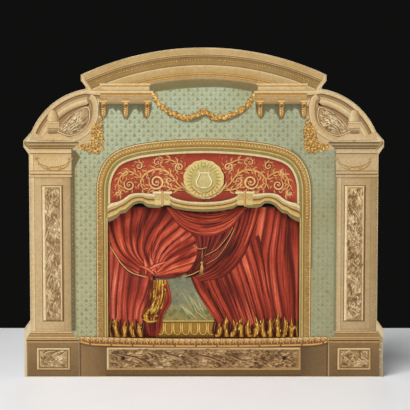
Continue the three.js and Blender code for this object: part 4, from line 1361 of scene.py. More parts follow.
def capital(sheet, side, dim):
    """The pilaster's capital: stepped cornice, neck with a festoon of leaves, and a double fillet."""
    steps = ((312.6, UMBER, 178.0, 235.4), (313.6, DARK_UMBER, 177.4, 236.0), (314.2, (206, 176, 122), 177.0, 236.6),
             (316.0, TAN, 175.2, 239.0), (316.4, DARK_UMBER, 174.6, 240.2), (317.6, UMBER, 173.6, 241.4),
             (318.2, PALE, 171.4, 242.8), (320.2, (214, 184, 130), 170.4, 243.2), (320.6, DARK_UMBER, 169.6, 243.4),
             (322.0, UMBER, 169.2, 243.4), (322.5, PALE, 169.2, 243.2))
    ends = np.array([across(side, near, far) for height, ink, near, far in steps]).T
    sheet.bands(*ends, [(height, darker(mix(ink, (166, 132, 66), 0.22), dim * 0.86))
                        for height, ink, near, far in steps], 15)
    left, right = across(side, 179.6, 236.2)
    neck = mix(CREAM, PALE, 0.5)
    sheet.bands(left, right, [(height, darker(ink, dim)) for height, ink in (
        (274.4, LINE), (275.2, (222, 190, 140)), (277.4, CREAM), (277.8, (136, 104, 66)), (279.4, (166, 132, 92)),
        (279.8, PALE), (282.4, CREAM), (282.8, (140, 106, 66)), (283.6, TAN), (284, neck), (298.4, neck),
        (305.8, (200, 172, 124)), (306.2, UMBER), (307.2, UMBER), (307.6, PALE), (312.6, CREAM))], 14)
    if side < 0:
        sheet.pillars(283.8, 305.4, [(left, (216, 188, 146)), (left + 1, (230, 202, 158)), (left + 4.8, PALE),
                                     (left + 5.2, UMBER), (left + 5.8, (196, 164, 116))], 15)
    chamfer = [(243.2, 323.0), (242.6, 318.4), (236.6, 312.8)], [(239.2, 323.0), (238.4, 318.4), (233.6, 312.8)]
    sheet.between(*(mirrored(edge, side) for edge in chamfer), [(0, (126, 100, 58)), (1, (176, 142, 92))], 16)
    middle = side * PILASTER_AXIS
    hang = smooth([(middle + x, z) for x, z in ((-23, 299), (-17, 291.4), (-8, 287.6), (0, 286.6), (8, 287.6),
                                                (17, 291.4), (23, 299))], 5)
    sheet.stroke(hang + (0.8, -2.2), 3.4, [(176, 140, 88), (158, 124, 74), (184, 150, 98)], 0.6, 16)
    sheet.stroke(hang, 4.6, [(222, 192, 140), (214, 180, 122), (184, 148, 88), (146, 114, 62)], 0.6, 17)
    for i, place in enumerate(resample(hang, 30)):
        light, dark = ((232, 204, 152), (190, 154, 98)) if i % 2 else ((176, 140, 84), (142, 108, 60))
        sheet.leaf(place, place + toward(i * 2.4) * 2.4, 1.7, 0.2, light, dark, 18 + i / 16)
    for place in (middle - 22.4, middle + 22.4):
        for turn in (-0.9, -0.3, 0.4, 1.0):
            sheet.leaf((place, 298), (place + 4.5 * turn, 298 + 5 * math.cos(turn)), 2.4, 0.1, (222, 192, 138),
                       (170, 136, 84), 20)


def print_plinth(name, side):
    """One plinth with its sunk carved panel."""
    sheet = InkSheet(WALL_FACE)
    left, right = across(side, 171.0, 242.9)
    # Painted light: the left-hand plinth's ground is printed a little lighter, as the light falls from the left.
    ground = darker(PLINTH, 1.06 if side < 0 else 1.0)
    sheet.bands(left, right, [(1.0, darker(ground, 0.8)), (3, darker(ground, 0.92)), (26, ground),
                              (47.6, mix(ground, TAN, 0.2)), (48.2, (196, 160, 104)), (49.4, GILT), (50.0, LINE),
                              (51.4, (110, 82, 46))], 4)
    sheet.pillars(1.5, 48.5, [(left, (190, 154, 102)), (left + 1.4, mix(ground, TAN, 0.4)), (left + 2.2, ground)], 5)
    low, high = across(side, 183.4, 229.0)
    sheet.bands(low - 0.8, high + 0.8, [(9.2, LINE), (41.4, LINE)], 5.95)
    bevelled_panel(sheet, (low, 10.0), (high, 40.6), 3.0, (236, 206, 152), (206, 170, 114), (122, 94, 60), 6.9)
    sheet.bands(low + 3.0, high - 3.0, [(13.0, LINE), (37.6, LINE)], 8.9)
    carved = rectangle((low + 4.0, 14.0), (high - 4.0, 36.6))
    sheet.patch([carved[:2], carved[[3, 2]]], CARVED[2], 9.8)
    relief(sheet, carved, 1.7, 80 + side, CARVED, 6.0, 10.8, heading=30 * side, stray=60)
    branches(sheet, carved[0], carved[2], 3, 90 + side, (16, -12 * side), CARVED, 15)
    if side > 0:
        worn_corner(sheet)
    sheet.object(f"print_{name}_plinth")


def worn_corner(sheet):
    """The rubbed edge of the right-hand plinth, and six chips out of its print."""
    worn = (178, 160, 126)
    sheet.patch([[(240.6, 1.2), (243.4, 1.2), (245.8, 1.2)], [(240.2, 30), (243.4, 30), (245.8, 30)],
                 [(240.8, 53.6), (243.4, 53.6), (245.7, 53.6)], [(236.6, 63.4), (237.6, 64), (238.6, 64.2)]],
                [[(132, 108, 70), (160, 138, 100), worn], [(140, 116, 78), worn, (190, 172, 140)],
                 [(150, 124, 82), (172, 150, 110), worn], [(178, 150, 102)] * 3], 5.9)
    chip = np.array([(-1, -0.3), (-0.2, -0.7), (1, -0.2), (0.5, 0.5), (-0.6, 0.4)])
    for x, z, size in ((243.4, 46.5, 1.5), (241.6, 38.4, 2.0), (244.0, 36.8, 1.3), (243.2, 29.5, 1.7),
                       (244.2, 21.0, 1.2), (242.4, 14.2, 1.4)):
        sheet.shape(chip * size + (x, z), (196, 178, 146), (x, z), (226, 214, 190), 17)


def print_base():
    """The base between the plinths, with its long carved panel."""
    sheet = InkSheet(WALL_FACE)
    sheet.bands(-170.4, 170.4, [(1.0, (86, 62, 34)), (5, (112, 84, 48)), (9.6, (104, 76, 42)), (24, (100, 74, 42)),
                                (44, (92, 66, 36)), (52.5, (80, 56, 30))], 2)
    for side in (-1, 1):
        light = 1.0 if side < 0 else 0.86
        stops = [(170.6, (92, 68, 38)), (168.8, (100, 76, 44)), (167.6, darker((146, 114, 72), light)),
                 (150, darker((136, 106, 66), light)), (134, darker((116, 88, 52), light))]
        sheet.pillars(1.2, 48, sorted((x * side, ink) for x, ink in stops), 2.95)
    bevelled_panel(sheet, (-133.0, 9.8), (133.0, 41.0), 2.8, (236, 210, 160), (196, 156, 94), (140, 108, 66), 3.9)
    low, high = (-130.0, 12.8), (130.0, 38.2)
    carved = rectangle(low, high)
    sheet.patch([carved[:2], carved[[3, 2]]], CARVED_BASE[2], 5.9)
    relief(sheet, carved, 2.0, 95, CARVED_BASE, 7.5, 6.9, heading=-8, stray=22)
    branches(sheet, low, high, 5, 97, (60, -20), CARVED_BASE, 11)
    # Painted shade: a dark disc round each nail head, darkest at its middle.
    for side in (-1, 1):
        sheet.disc((110.5 * side, 26.4), 3.0, (84, 60, 36), (44, 32, 20), 12, 16)
    sheet.object("print_base")


# Curtain

CURTAIN_SEEN = 128.2  # beyond this the drapes draw together, clear of the grooves the card slides in
DRAWN_TOGETHER = 0.2  # share of their width that they keep there
STRANDS_REACH = 126.5  # how far out the fringes' strands go
VELVET = ((46, 14, 10), (118, 37, 24), (176, 65, 43), (212, 95, 67), (242, 136, 102))
FRINGE = ((66, 20, 10), (98, 42, 14), (134, 78, 22), (194, 138, 44), (242, 200, 92))
STROKES_PER_FOLD = 7  # fine strokes that hatch each fold
COLUMNS_PER_FOLD = 8  # steps of a cloth's grid across one fold
CLOTH_ROWS = 44  # rows of points down a cloth


def cloth(sheet, rails, count, seed, layer, inks=VELVET, fade=(1.0, 1.0), light=(1.0, 1.0)):
    """Cloth laid over lines across it, from head to foot, in about so many uneven folds that come and go.

    fade is the light at head and foot, and light the light at even steps across."""
    chance = random.Random(seed)
    rows, columns = CLOTH_ROWS, count * COLUMNS_PER_FOLD + 1
    lines = np.array([resample(smooth(rail), columns) for rail in rails])
    grid = np.stack([resample(smooth(lines[:, j]), rows) for j in range(columns)], axis=1)
    along, down = np.linspace(0, 1, columns), np.linspace(0, 1, rows)[:, None]
    widths = np.cumsum([0] + [chance.uniform(0.5, 1.7) for fold in range(count)])
    place = np.interp(along * widths[-1], widths, np.arange(count + 1))[None, :]
    place = place + sum(chance.uniform(0.08, 0.2) * np.sin(down * chance.uniform(1, 6) + chance.uniform(0, TAU)
                                                          + along * chance.uniform(0, 9)) for sway in range(3))
    crest = (0.5 + 0.5 * np.cos(TAU * place - 0.8 * np.sin(TAU * place))) ** 1.9
    crease = np.exp(-(((place + 0.62) % 1 - 0.5) / 0.07) ** 2)
    small = (0.5 + 0.5 * np.cos(TAU * place * 2.7 + 5 * down + chance.uniform(0, TAU))) ** 2
    own = np.array([[chance.uniform(0.25, 1.15) for fold in range(count + 4)] for height in range(6)])
    near = np.clip(down[:, 0] * 5, 0, 4.999)
    level = np.array([np.interp(place[i] + 1.5, np.arange(count + 4),
                                own[int(t)] + (own[int(t) + 1] - own[int(t)]) * (t % 1)) for i, t in enumerate(near)])
    broad = 0.84 + 0.16 * np.sin(along * chance.uniform(4, 9) + chance.uniform(0, TAU))[None, :]
    tone = (0.2 + 0.78 * crest * level + 0.22 * small * level - 0.2 * crease) * broad
    tone = tone * (fade[0] + (fade[1] - fade[0]) * down) * np.interp(along, np.linspace(0, 1, len(light)), light)
    tone = tone * np.clip(0.45 + np.minimum(along, 1 - along)[None, :] * count * 1.6, 0, 1)
    sheet.patch(grid, tones(inks, tone), layer)
    for stroke in range(count * STROKES_PER_FOLD):
        column, start = chance.randrange(2, columns - 2), chance.randrange(0, rows - 8)
        run = slice(start, start + chance.randrange(8, rows // 2))
        ink = tones(inks, tone[run, column].mean() + chance.choice((-0.34, -0.24, 0.16, 0.3)))
        sheet.stroke(grid[run, column], chance.uniform(0.5, 1.3), [mix(ink, inks[0], 0.15), ink],
                     chance.uniform(0.2, 0.8), layer + 0.95)


def folds(sheet, first, second, count, seed, layer, inks=VELVET, fade=(1.0, 1.0), light=(1.0, 1.0)):
    """Cloth between two edges, with its folds running along them."""
    edges = [resample(smooth(edge), 9) for edge in (first, second)]
    cloth(sheet, list(np.stack(edges, axis=1)), count, seed, layer, inks, fade, light)


def landscape(sheet):
    """A hazy garden behind a balustrade, seen between the drapes."""
    sheet.bands(-66, 34, [(54, (122, 108, 56)), (76, (154, 132, 74)), (92, (154, 140, 90)), (112, (138, 138, 110)),
                          (142, (112, 122, 108))], 1)
    chance = random.Random(14)
    for i in range(44):
        place = (chance.uniform(-50, 20), chance.uniform(92, 138))
        ink = ((116, 122, 98), (142, 142, 114), (108, 118, 98), (148, 144, 110))[i % 4]
        sheet.disc(place, chance.uniform(2, 5), mix(ink, (130, 132, 106), 0.8), ink, 9, layer=1.95)
    for i in range(60):
        place = (chance.uniform(-60, 24), chance.uniform(76, 92))
        ink = mix((120, 120, 74), (156, 148, 92), chance.random())
        sheet.disc(place, chance.uniform(1.5, 4), darker(ink, 0.9), ink, 8, layer=2)
    for i in range(26):
        foot = np.array((chance.uniform(-26, 22), chance.uniform(78, 90)))
        head = foot + (-chance.uniform(8, 22), chance.uniform(12, 34))
        ink = ((190, 186, 134), (214, 210, 166), (116, 120, 92))[i % 3]
        sheet.stroke([foot, (foot + head) / 2, head], chance.uniform(0.6, 1.3), [ink, ink], 0.4, 3)
    sheet.bands(-64, 30, [(54, (112, 80, 30)), (60, (148, 110, 42)), (60.4, (80, 58, 24)), (62, (206, 164, 74)),
                          (63, (98, 72, 28)), (76, (124, 96, 40))], 4)
    for i, x in enumerate(np.arange(-60, 30, 11.8)):
        for half, ink, layer in ((5.2, (236, 192, 92), 5), (3.9, (126, 84, 32), 6), (3.1, (166, 124, 56), 7)):
            arch = [(x - half, 73.4), (x - half, 64), (x - half * 0.75, 60.6 - half * 0.35), (x, 62 - half),
                    (x + half * 0.75, 60.6 - half * 0.35), (x + half, 64), (x + half, 73.4)]
            sheet.shape(arch, ink, (x, 66.5), ink, layer)
        sheet.stroke([(x + 5.9, 55), (x + 5.9, 64), (x + 5.9, 72)], 1.5, [(224, 196, 118), (128, 92, 36)], 0.4, 7.95)
    sheet.bands(-64, 30, [(75.4, (110, 88, 42)), (76, (210, 186, 112)), (77.4, (186, 160, 90)),
                          (77.8, (100, 82, 40))], 8.9)


def hem(sheet, line, seed, layer):
    """A hem's gold fringe: tongues of gold on the folds, with dark cloth between them."""
    chance = random.Random(seed)
    count = 2 * int(abs(line[-1][0] - line[0][0]) / 11.4) + 3
    tongue = list(zip((0, 0.2, 0.42, 0.65, 0.85, 1),
                      (FRINGE[0], FRINGE[2], (222, 174, 72), FRINGE[3], FRINGE[1], FRINGE[0])))
    for i, (x, z) in enumerate(resample(smooth(line), count)):
        top, lean = z + chance.uniform(-5, 9) * (i % 2 or 0.4), chance.uniform(-2.5, 2.5)
        path = smooth([(x - lean, 54.6), (x + lean, 0.5 * top + 27), (x - 0.3 * lean, top)])
        if i % 2 == 0:
            sheet.stroke(path, 10.5, [(120, 38, 26), (66, 18, 12), (54, 14, 10), (66, 18, 12), (112, 34, 24)], 0.35,
                         layer)
            continue
        spine, share = resample(path, 12), np.linspace(0, 1, 12)
        half = chance.uniform(3.6, 4.8) * (1 - share ** 2.6) * (1 + 0.22 * np.sin(share * 10 + chance.uniform(0, TAU)))
        out = np.column_stack([half + 0.2, np.zeros(12)])
        sheet.between(spine - out, spine + out, tongue, layer + 1)
        for k in range(14):
            place = spine[chance.randrange(0, 9)] + (chance.uniform(-3, 3), 0)
            tip = place + (chance.uniform(-1.4, 1.4), chance.uniform(2.5, 6))
            ink = ((250, 216, 122), (206, 148, 54), (112, 52, 20), (86, 32, 16))[k % 4]
            sheet.stroke([place, (place + tip) / 2, tip], chance.uniform(1.0, 1.9), [ink, ink], 0.4, layer + 2 + k / 9)


HEMS = {"left": [(-136, 82), (-112, 80), (-82, 78)],
        "right": [(16, 80), (45, 74), (78, 76), (96, 84)], "far": [(98, 84), (116, 78), (135, 80)]}


def print_curtain():
    """The drawn-up crimson curtain printed on the sliding card: drapes, swag, cords and fringes."""
    sheet = InkSheet(CURTAIN_FACE)
    sheet.bands(-139.2, 139.2, [(53.4, (70, 28, 20)), (120, (58, 22, 17)), (190, (46, 18, 14)), (233.4, (34, 15, 12))],
                0.5)
    ground = len(sheet.points)
    landscape(sheet)
    rear_drapes(sheet)
    cascade(sheet)
    gathered_drape(sheet)
    folds(sheet, [(-52, 233), (-36, 210), (-18, 198), (2, 193), (24, 197), (42, 209), (60, 233)],
          [(-40, 233), (-28, 228), (-14, 225), (2, 224), (20, 225), (34, 228), (46, 233)], 7, 61, 28.3,
          fade=(0.95, 0.95))
    curtain_cords(sheet)
    for i, line in enumerate(HEMS.values()):
        hem(sheet, line, 70 + i, 30.2)
    for k in range(ground, len(sheet.points)):
        x, y, z = sheet.points[k]
        if abs(x) > CURTAIN_SEEN:
            x = math.copysign(CURTAIN_SEEN + (abs(x) - CURTAIN_SEEN) * DRAWN_TOGETHER, x)
        sheet.points[k] = (x, y, z)
    sheet.object("print_curtain", "curtain", "curtain print")
    curtain_fringes()


def rear_drapes(sheet):
    """The shaded cloth in the middle, the three long drapes on the right and the one on the left."""
    folds(sheet, [(-60, 233), (-34, 205), (-16, 176), (-24, 139)], [(64, 233), (52, 200), (20, 168), (-6, 136)], 10, 77,
          9.9, ((44, 15, 11), (88, 29, 21), (124, 42, 31), (148, 54, 40), (172, 74, 54)))
    cloth(sheet, [[(72, 233), (139, 233)], [(66, 200), (139, 200)], [(60, 160), (139, 160)], [(68, 110), (139, 110)],
                  [(84, 55), (139, 55)]], 7, 3, 12, fade=(0.85, 0.95), light=(0.85, 1.15, 0.8, 1.15, 0.75, 1.1, 0.95))
    cloth(sheet, [[(-20, 142), (12, 154), (52, 180), (76, 196)], [(-10, 118), (26, 128), (62, 150), (82, 164)],
                  [(6, 92), (42, 98), (72, 114), (88, 126)], [(18, 72), (52, 74), (80, 86), (95, 96)],
                  [(24, 55), (54, 54), (84, 54), (102, 55)]],
          12, 8, 14, fade=(0.8, 1.0), light=(1.15, 0.9, 1.1, 0.75, 1.0, 0.8, 1.1, 0.75, 1.05))
    cloth(sheet, [[(46, 233), (80, 233)], [(40, 206), (56, 204), (70, 203)], [(24, 178), (40, 171), (55, 166)],
                  [(2, 156), (16, 147), (30, 139)], [(-20, 143), (-12, 136), (-2, 131)]], 6, 19, 16,
          fade=(0.85, 0.72), light=(0.75, 0.62, 0.66, 0.85, 0.95, 0.9, 1.1))
    folds(sheet, [(-139, 198), (-139, 150), (-139, 120), (-139, 90), (-139, 55)],
          [(-70, 140), (-69, 130), (-76, 108), (-83, 88), (-84, 55)], 7, 33, 17.9,
          ((64, 21, 15), (138, 46, 34), (188, 76, 56), (218, 106, 82), (238, 146, 120)), (0.9, 1.0))


def cascade(sheet):
    """The tail that falls under the knot: its red cloth, and the gold fringe that runs down it."""
    folds(sheet, [(-76, 133), (-77, 112), (-81, 92), (-82, 72), (-76, 55)],
          [(-50, 133), (-44, 108), (-48, 96), (-56, 82), (-57, 68), (-64, 55.5)], 5, 41, 19.8,
          ((50, 16, 12), (104, 34, 24), (146, 48, 34), (176, 64, 46), (206, 92, 68)), light=(0.7, 0.8, 1.2))
    folds(sheet, [(-72, 133), (-74, 116), (-76, 102), (-83, 86)], [(-51, 133), (-51, 116), (-54, 101), (-61, 86)],
          5, 52, 21.7, FRINGE, (1.1, 1.15))
    folds(sheet, [(-82, 93), (-86, 83), (-80, 73)], [(-58, 93), (-60, 84), (-64, 75)], 4, 53, 22.1, FRINGE, (1.1, 1.1))
    sheet.stroke(smooth([(-84, 88), (-76, 84.5), (-66, 86), (-57, 92)]), 1.8, [(96, 40, 18)] * 2, 0.5, 23.1)
    sheet.stroke(smooth([(-84, 79), (-74, 75.5), (-64, 77)]), 3.4, [FRINGE[1], FRINGE[4], FRINGE[2]], 0.5, 23.1)
    chance = random.Random(9)
    for i in range(54):
        share = chance.random()
        place = np.array([np.interp(share, (0, 0.6, 1), (-61.5, -63.5, -71)) + chance.uniform(-9, 9), 130 - 46 * share])
        tip = place + (chance.uniform(-2.6, 1.4), chance.uniform(-7, -2.5))
        ink = ((246, 208, 112), (118, 56, 22), (206, 152, 60), (92, 40, 18))[i % 4]
        sheet.stroke([place, (place + tip) / 2 + (0.7, 0), tip], chance.uniform(1.3, 2.6), [ink, ink], 0.4, 23.1)


def gathered_drape(sheet):
    """The great drape on the left, drawn up to a knot, and the folds that bulge over the knot."""
    head = [(-139, 197), (-139, 212), (-134, 233), (-112, 233), (-90, 233), (-66, 233), (-44, 228), (-26, 206),
            (-12, 190), (-9, 170), (-19, 148), (-32, 138)]
    high = [(-126.5, 176), (-131, 189), (-129, 201), (-111, 202), (-92, 202), (-73, 202), (-58, 197), (-44, 186),
            (-32, 176), (-27, 162), (-31, 149), (-41, 136)]
    low = [(-112.5, 155), (-117, 163), (-114, 170), (-102, 173), (-89, 174), (-77, 175), (-66, 173), (-57, 167),
           (-51, 160), (-48, 152), (-50, 143), (-56, 135)]
    knot = [(-90, 140), (-88, 147), (-84, 152), (-79, 155), (-74, 156), (-70, 155), (-67, 152), (-65, 149), (-64, 146),
            (-64, 142), (-65, 139), (-68, 136)]
    cloth(sheet, [head, high, low, knot], 15, 21, 24, fade=(0.85, 1.0),
          light=(0.95, 0.78, 0.92, 0.84, 1.02, 1.25, 1.0, 1.12, 0.62))
    sheet.disc((-73, 148), 10, VELVET[1], VELVET[2], 16, 25.9)
    for i, (root, tip, width) in enumerate((((-82, 163), (-80, 141), 7), ((-74, 166), (-64, 140), 8),
                                            ((-62, 163), (-74, 140), 7), ((-50, 159), (-80, 145), 6),
                                            ((-88, 153), (-66, 139), 5))):
        bulge = np.add(root, tip) / 2 + (1.5 * (-1) ** i, 1)
        sheet.stroke(smooth([root, bulge, tip], 8), width, [VELVET[k] for k in (0, 2, 4, 3, 1)], 0.5, 26.8 + i * 0.3)


def curtain_cords(sheet):
    """Gold cords over the drapes, with a hanging tassel."""
    cords = [([(-139, 196), (-126, 176), (-113, 156), (-99, 143.5), (-79, 137)], 1.5),
             ([(40, 206), (32, 192), (18, 176), (2, 167)], 0.7), ([(42, 204), (34, 186), (20, 166), (4, 155)], 0.7),
             ([(-26, 138), (-16, 141), (-6, 146)], 1.4), ([(-14, 181), (-6, 176), (4, 178)], 0.9)]
    for points, width in cords:
        path = smooth(points, 8)
        sheet.stroke(path + (0.8, -1.4), width * 1.6, [(30, 12, 10)] * 2, 0.5, 30.2)
        sheet.ribbon(path, [(-width / 2, (150, 96, 56)), (0, (232, 186, 122)), (width / 2, (190, 130, 78))], 31.1)
    sheet.stroke([(-1.6, 178), (-2.2, 168), (-2.6, 158)], 1.4, [(120, 66, 34), (222, 172, 104), (120, 66, 34)], 0.8,
                 31.1)
    for x in np.linspace(-4, -1, 5):
        sheet.stroke([(-2.6, 158), (x, 150), (x * 1.5, 140)], 1.1, [DARK_GILT, (240, 202, 128), DARK_GILT], 0.7, 31.1)
    sheet.disc((-2.6, 157), 2.0, DARK_GILT, (238, 202, 128), 10, 32)


def curtain_fringes():
    """Bullion strands over the fringes, one after another."""
    strand = InkSheet()
    strand.stroke([(0, 0.4), (0.3, -7), (-0.2, -14), (0.1, -22)], 1.3, [(78, 36, 14), (180, 124, 46), (90, 44, 18)],
                  0.4)
    motif = strand.motif("motif_strand")
    for name, line in HEMS.items():
        path = smooth([(min(max(x, -STRANDS_REACH), STRANDS_REACH), max(z - 2.5, 75)) for x, z in line], 8)
        grow(f"print_curtain_{name}_fringe", ALONG, path, 35, motif, {
            "Pitch": sizes().strand_pitch, "Turn": 0.16, "Seed": 4, "Size": 0.72, "Size variation": 0.32,
            "Shade variation": 0.3, "Depth": 0.00006}, CURTAIN_FACE, "curtain", "curtain print")


# Footlight strip


def strip_edges(x):
    """Heights of the strip's lower edge and of its scalloped upper edge, over places across."""
    bow = (np.asarray(x) / 100) ** 2
    lifted = np.clip((np.abs(x) - 146) / 24, 0, 1) ** 2
    scallop = np.abs(np.cos(np.pi * (np.asarray(x) + STRIP_HIGH[0] - 4) * MM / sizes().curl_pitch))
    return 41.0 + 1.0 * bow + 3.8 * lifted, 52.8 + 1.15 * bow + 0.7 * scallop


def make_strip_card():
    """The strip's own card, bowed along its foot and scalloped along its top."""
    reach = STRIP_HIGH[0] - 0.05
    x = np.linspace(-reach, reach, 505)
    n = len(x)
    points = [(x[i], y, edge[i]) for y in (STRIP_LOW[1], STRIP_HIGH[1]) for edge in strip_edges(x) for i in range(n)]
    faces = [(0, n, 3 * n, 2 * n), (n - 1, 3 * n - 1, 4 * n - 1, 2 * n - 1)]
    for i in range(n - 1):
        faces += [(i, i + 1, n + i + 1, n + i), (2 * n + i, 3 * n + i, 3 * n + i + 1, 2 * n + i + 1),
                  (i, 2 * n + i, 2 * n + i + 1, i + 1), (n + i, n + i + 1, 3 * n + i + 1, 3 * n + i)]
    finish_print("strip_card", new_mesh("strip_card", points, faces), "root", "strip board",
                 ("footlight_strip",))


def curl_motif():
    """One scroll of the strip, with the bud and the drop that part it from the next."""
    curl = InkSheet()
    curl.disc((0, 0), 4.0, (126, 76, 34), (150, 96, 46), 14)
    curl.disc((0, 0.3), 3.4, (176, 124, 56), (230, 198, 124), 14, 0.4)
    curl.stroke([(-1.0, 0.9), (0.8, 0.5), (1.7, -1.2), (0.8, -3.6)], 2.0, [(92, 50, 18), (140, 84, 34)], 0.3, 0.8)
    curl.stroke([(-2.6, -0.6), (-2.0, -2.4), (-1.0, -3.6)], 1.0, [(118, 68, 28), (150, 94, 40)], 0.3, 0.9)
    curl.stroke(spiral((0, 0), 3.4, 0.5, 165, -1), 1.1, [(250, 232, 180), (232, 192, 124)], 0.5, 1.0)
    curl.leaf((4.05, -3.4), (4.05, 3.0), 1.6, 0.05, (250, 222, 146), (128, 78, 32), 1.3)
    curl.disc((0, -4.2), 1.1, (120, 72, 30), (250, 214, 136), 8, 1.5)
    return curl.motif("motif_curl")


def print_strip():
    """The gilt strip across the foot of the opening: a jointed rod under a row of scrolls."""
    sheet = InkSheet(STRIP_LOW[1])
    reach = STRIP_HIGH[0] - 0.5
    x = np.linspace(-reach, reach, 340)
    foot, top = strip_edges(x)
    line = np.column_stack([x, foot + 0.25])
    sheet.between(line, np.column_stack([x, top - 0.25]),
                  [(0, (104, 62, 28)), (0.35, (112, 68, 30)), (0.45, (150, 98, 48)), (0.7, (186, 136, 74)),
                   (0.92, (226, 186, 122)), (1, (250, 228, 176))], 0.8)
    sheet.ribbon(line, [(0.1, (84, 46, 20)), (0.5, (164, 104, 46)), (1.7, (230, 178, 96)), (2.6, (208, 144, 70)),
                        (3.5, (140, 84, 36)), (4.0, (76, 42, 18))], 6)
    for place in np.arange(-reach + 14, reach, sizes().rod_joint / MM):
        sheet.disc((place, strip_edges(place)[0] + 2.1), 1.3, (84, 48, 22), (140, 86, 42), 8, 7)
    sheet.object("print_strip", material="gilt card")
    crests = np.linspace(-STRIP_HIGH[0] + 4, STRIP_HIGH[0] - 4, 83)
    grow("print_strip_scrolls", ALONG, np.column_stack([crests, 49.4 + 1.15 * (crests / 100) ** 2]), 3, curl_motif(),
         {"Pitch": sizes().curl_pitch, "Turn": 0.04, "Seed": 12, "Size variation": 0.03, "Shade variation": 0.12},
         STRIP_LOW[1], material="gilt card")


# Wing hinges

TAPE_THICK = 0.36
TAPE_ROWS = 70  # rings of points up a tape, each a little frayed at its ends
TAPE_FRAY = 0.35


def make_tape(name, side):
    """A linen tape over the corner of post and wing, bent round that corner."""
    node = f"{name}_wing_tape"
    low, high = box_mm(node)
    chance = random.Random(7)
    post_end, corner_x = (low[0], high[0]) if side > 0 else (high[0], low[0])
    bend, inner = corner_x - side * 3, corner_x - side * TAPE_THICK
    y_front, y_back = low[1], high[1]
    lines = [[(post_end, y_front + TAPE_THICK), (bend, y_front + TAPE_THICK), (inner, y_front + TAPE_THICK),
              (inner, y_front + 3), (inner, y_back)],
             [(post_end, y_front), (bend, y_front), (corner_x, y_front), (corner_x, y_front + 3), (corner_x, y_back)]]
    points, faces = [], []
    for height in np.linspace(low[2] + 0.3, high[2] - 0.3, TAPE_ROWS):
        fray = [chance.uniform(0, TAPE_FRAY) for end in (0, 1)]
        for line in lines:
            (x, y), *between, (last_x, last_y) = line
            frayed = [(x + fray[0] * side, y), *between, (last_x, last_y - fray[1])]
            points += [(x, y, height) for x, y in frayed]
    count = len(lines[0])
    ring = [*range(count), *reversed(range(count, 2 * count))]
    for base in range(0, (TAPE_ROWS - 1) * 2 * count, 2 * count):
        for a, b in zip(ring, ring[1:] + ring[:1]):
            faces.append([base + a, base + b, base + 2 * count + b, base + 2 * count + a])
    faces += [ring[::-1], [(TAPE_ROWS - 1) * 2 * count + i for i in ring]]
    mesh = new_mesh(f"{name}_linen_hinge", points, faces)
    if side < 0:
        mesh.flip_normals()
    mesh.materials.append(bpy.data.materials["linen tape"])
    piece = put(f"{name}_linen_hinge", mesh)
    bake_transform(piece)
    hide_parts(node)


# CAD pieces that keep their shape

WOODS = {
    "pine along x": ["head_batten", "front_rail", "rear_rail"],
    "pine along y": ["left_side_rail", "right_side_rail"],
    "pine along z": ["left_upright", "right_upright", "left_front_bead", "right_front_bead", "left_rear_bead",
                     "right_rear_bead", "left_corner_block", "right_corner_block"],
    "floor pine": [f"stage_board_{i}" for i in range(1, 5)],
    "lath pine": ["curtain_top_lath", "curtain_bottom_lath"],
}
CARDS = {"facade_board": "front board", "curtain_card": "curtain board", "left_wing": "left wing card",
         "right_wing": "right wing card"}


def paint(node, material):
    """Gives a CAD piece a material in its own slots."""
    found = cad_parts[node]
    for place in found.material_slots:
        place.link = "OBJECT"
        place.material = bpy.data.materials[material]


# Camera, light and floor

LIGHTS = (  # name, place, what it looks at, share of the key light's power, size and colour
    ("key_light", (-0.55, -1.15, 1.95), (0, -0.2, 0.2), 1.0, 1.1, (1.0, 0.985, 0.965)),
    ("fill_light", (1.3, -1.4, 0.8), (0, -0.1, 0.2), 0.14, 1.0, (0.95, 0.97, 1.0)),
    ("rear_light", (0, 1.7, 0.75), (0, 0.0, 0.2), 0.1, 0.9, (1.0, 1.0, 1.0)),
)
CAMERA_PLACE, CAMERA_TARGET, LENS = (0.0018, -1.596, 0.3256), (0.0018, -0.0985, 0.2367), 96.8
NEAREST_SEEN, FARTHEST_SEEN = 0.05, 20
TABLE_HALF, TABLE_FRONT, TABLE_BACK, TABLE_THICK = 1600, -2200, 295, 30
ROOM_COLOUR = (0.30, 0.29, 0.28, 1)


def aimed(name, data, place, target):
    """A light or a camera that looks at a point."""
    made = put(name, data)
    made.location = place
    made.rotation_euler = (Vector(target) - made.location).to_track_quat("-Z", "Y").to_euler()
    return made


def make_table():
    """A pale painted table top."""
    corners = [(x, y, z) for z in (-TABLE_THICK, 0) for x, y in (
        (-TABLE_HALF, TABLE_FRONT), (TABLE_HALF, TABLE_FRONT), (TABLE_HALF, TABLE_BACK), (-TABLE_HALF, TABLE_BACK))]
    faces = [(3, 2, 1, 0), (4, 5, 6, 7), (0, 1, 5, 4), (1, 2, 6, 5), (2, 3, 7, 6), (3, 0, 4, 7)]
    n, shader = new_material("painted table", specular=0.4, roughness=0.5)
    place = n.place()
    clouds = n.span(n.noise(place, 6, 4.0), 0.3, 0.7, 0, 0.08)
    n.feed(shader, {"Base Color": n.blend(clouds, (*sizes().table_colour, 1), (0.55, 0.54, 0.57, 1)),
                    "Normal": n.bump(n.noise(place, 700, 2.0), 0.0001, 0.3)})
    mesh = new_mesh("table_top", corners, faces)
    mesh.materials.append(bpy.data.materials["painted table"])
    table = put("table_top", mesh)


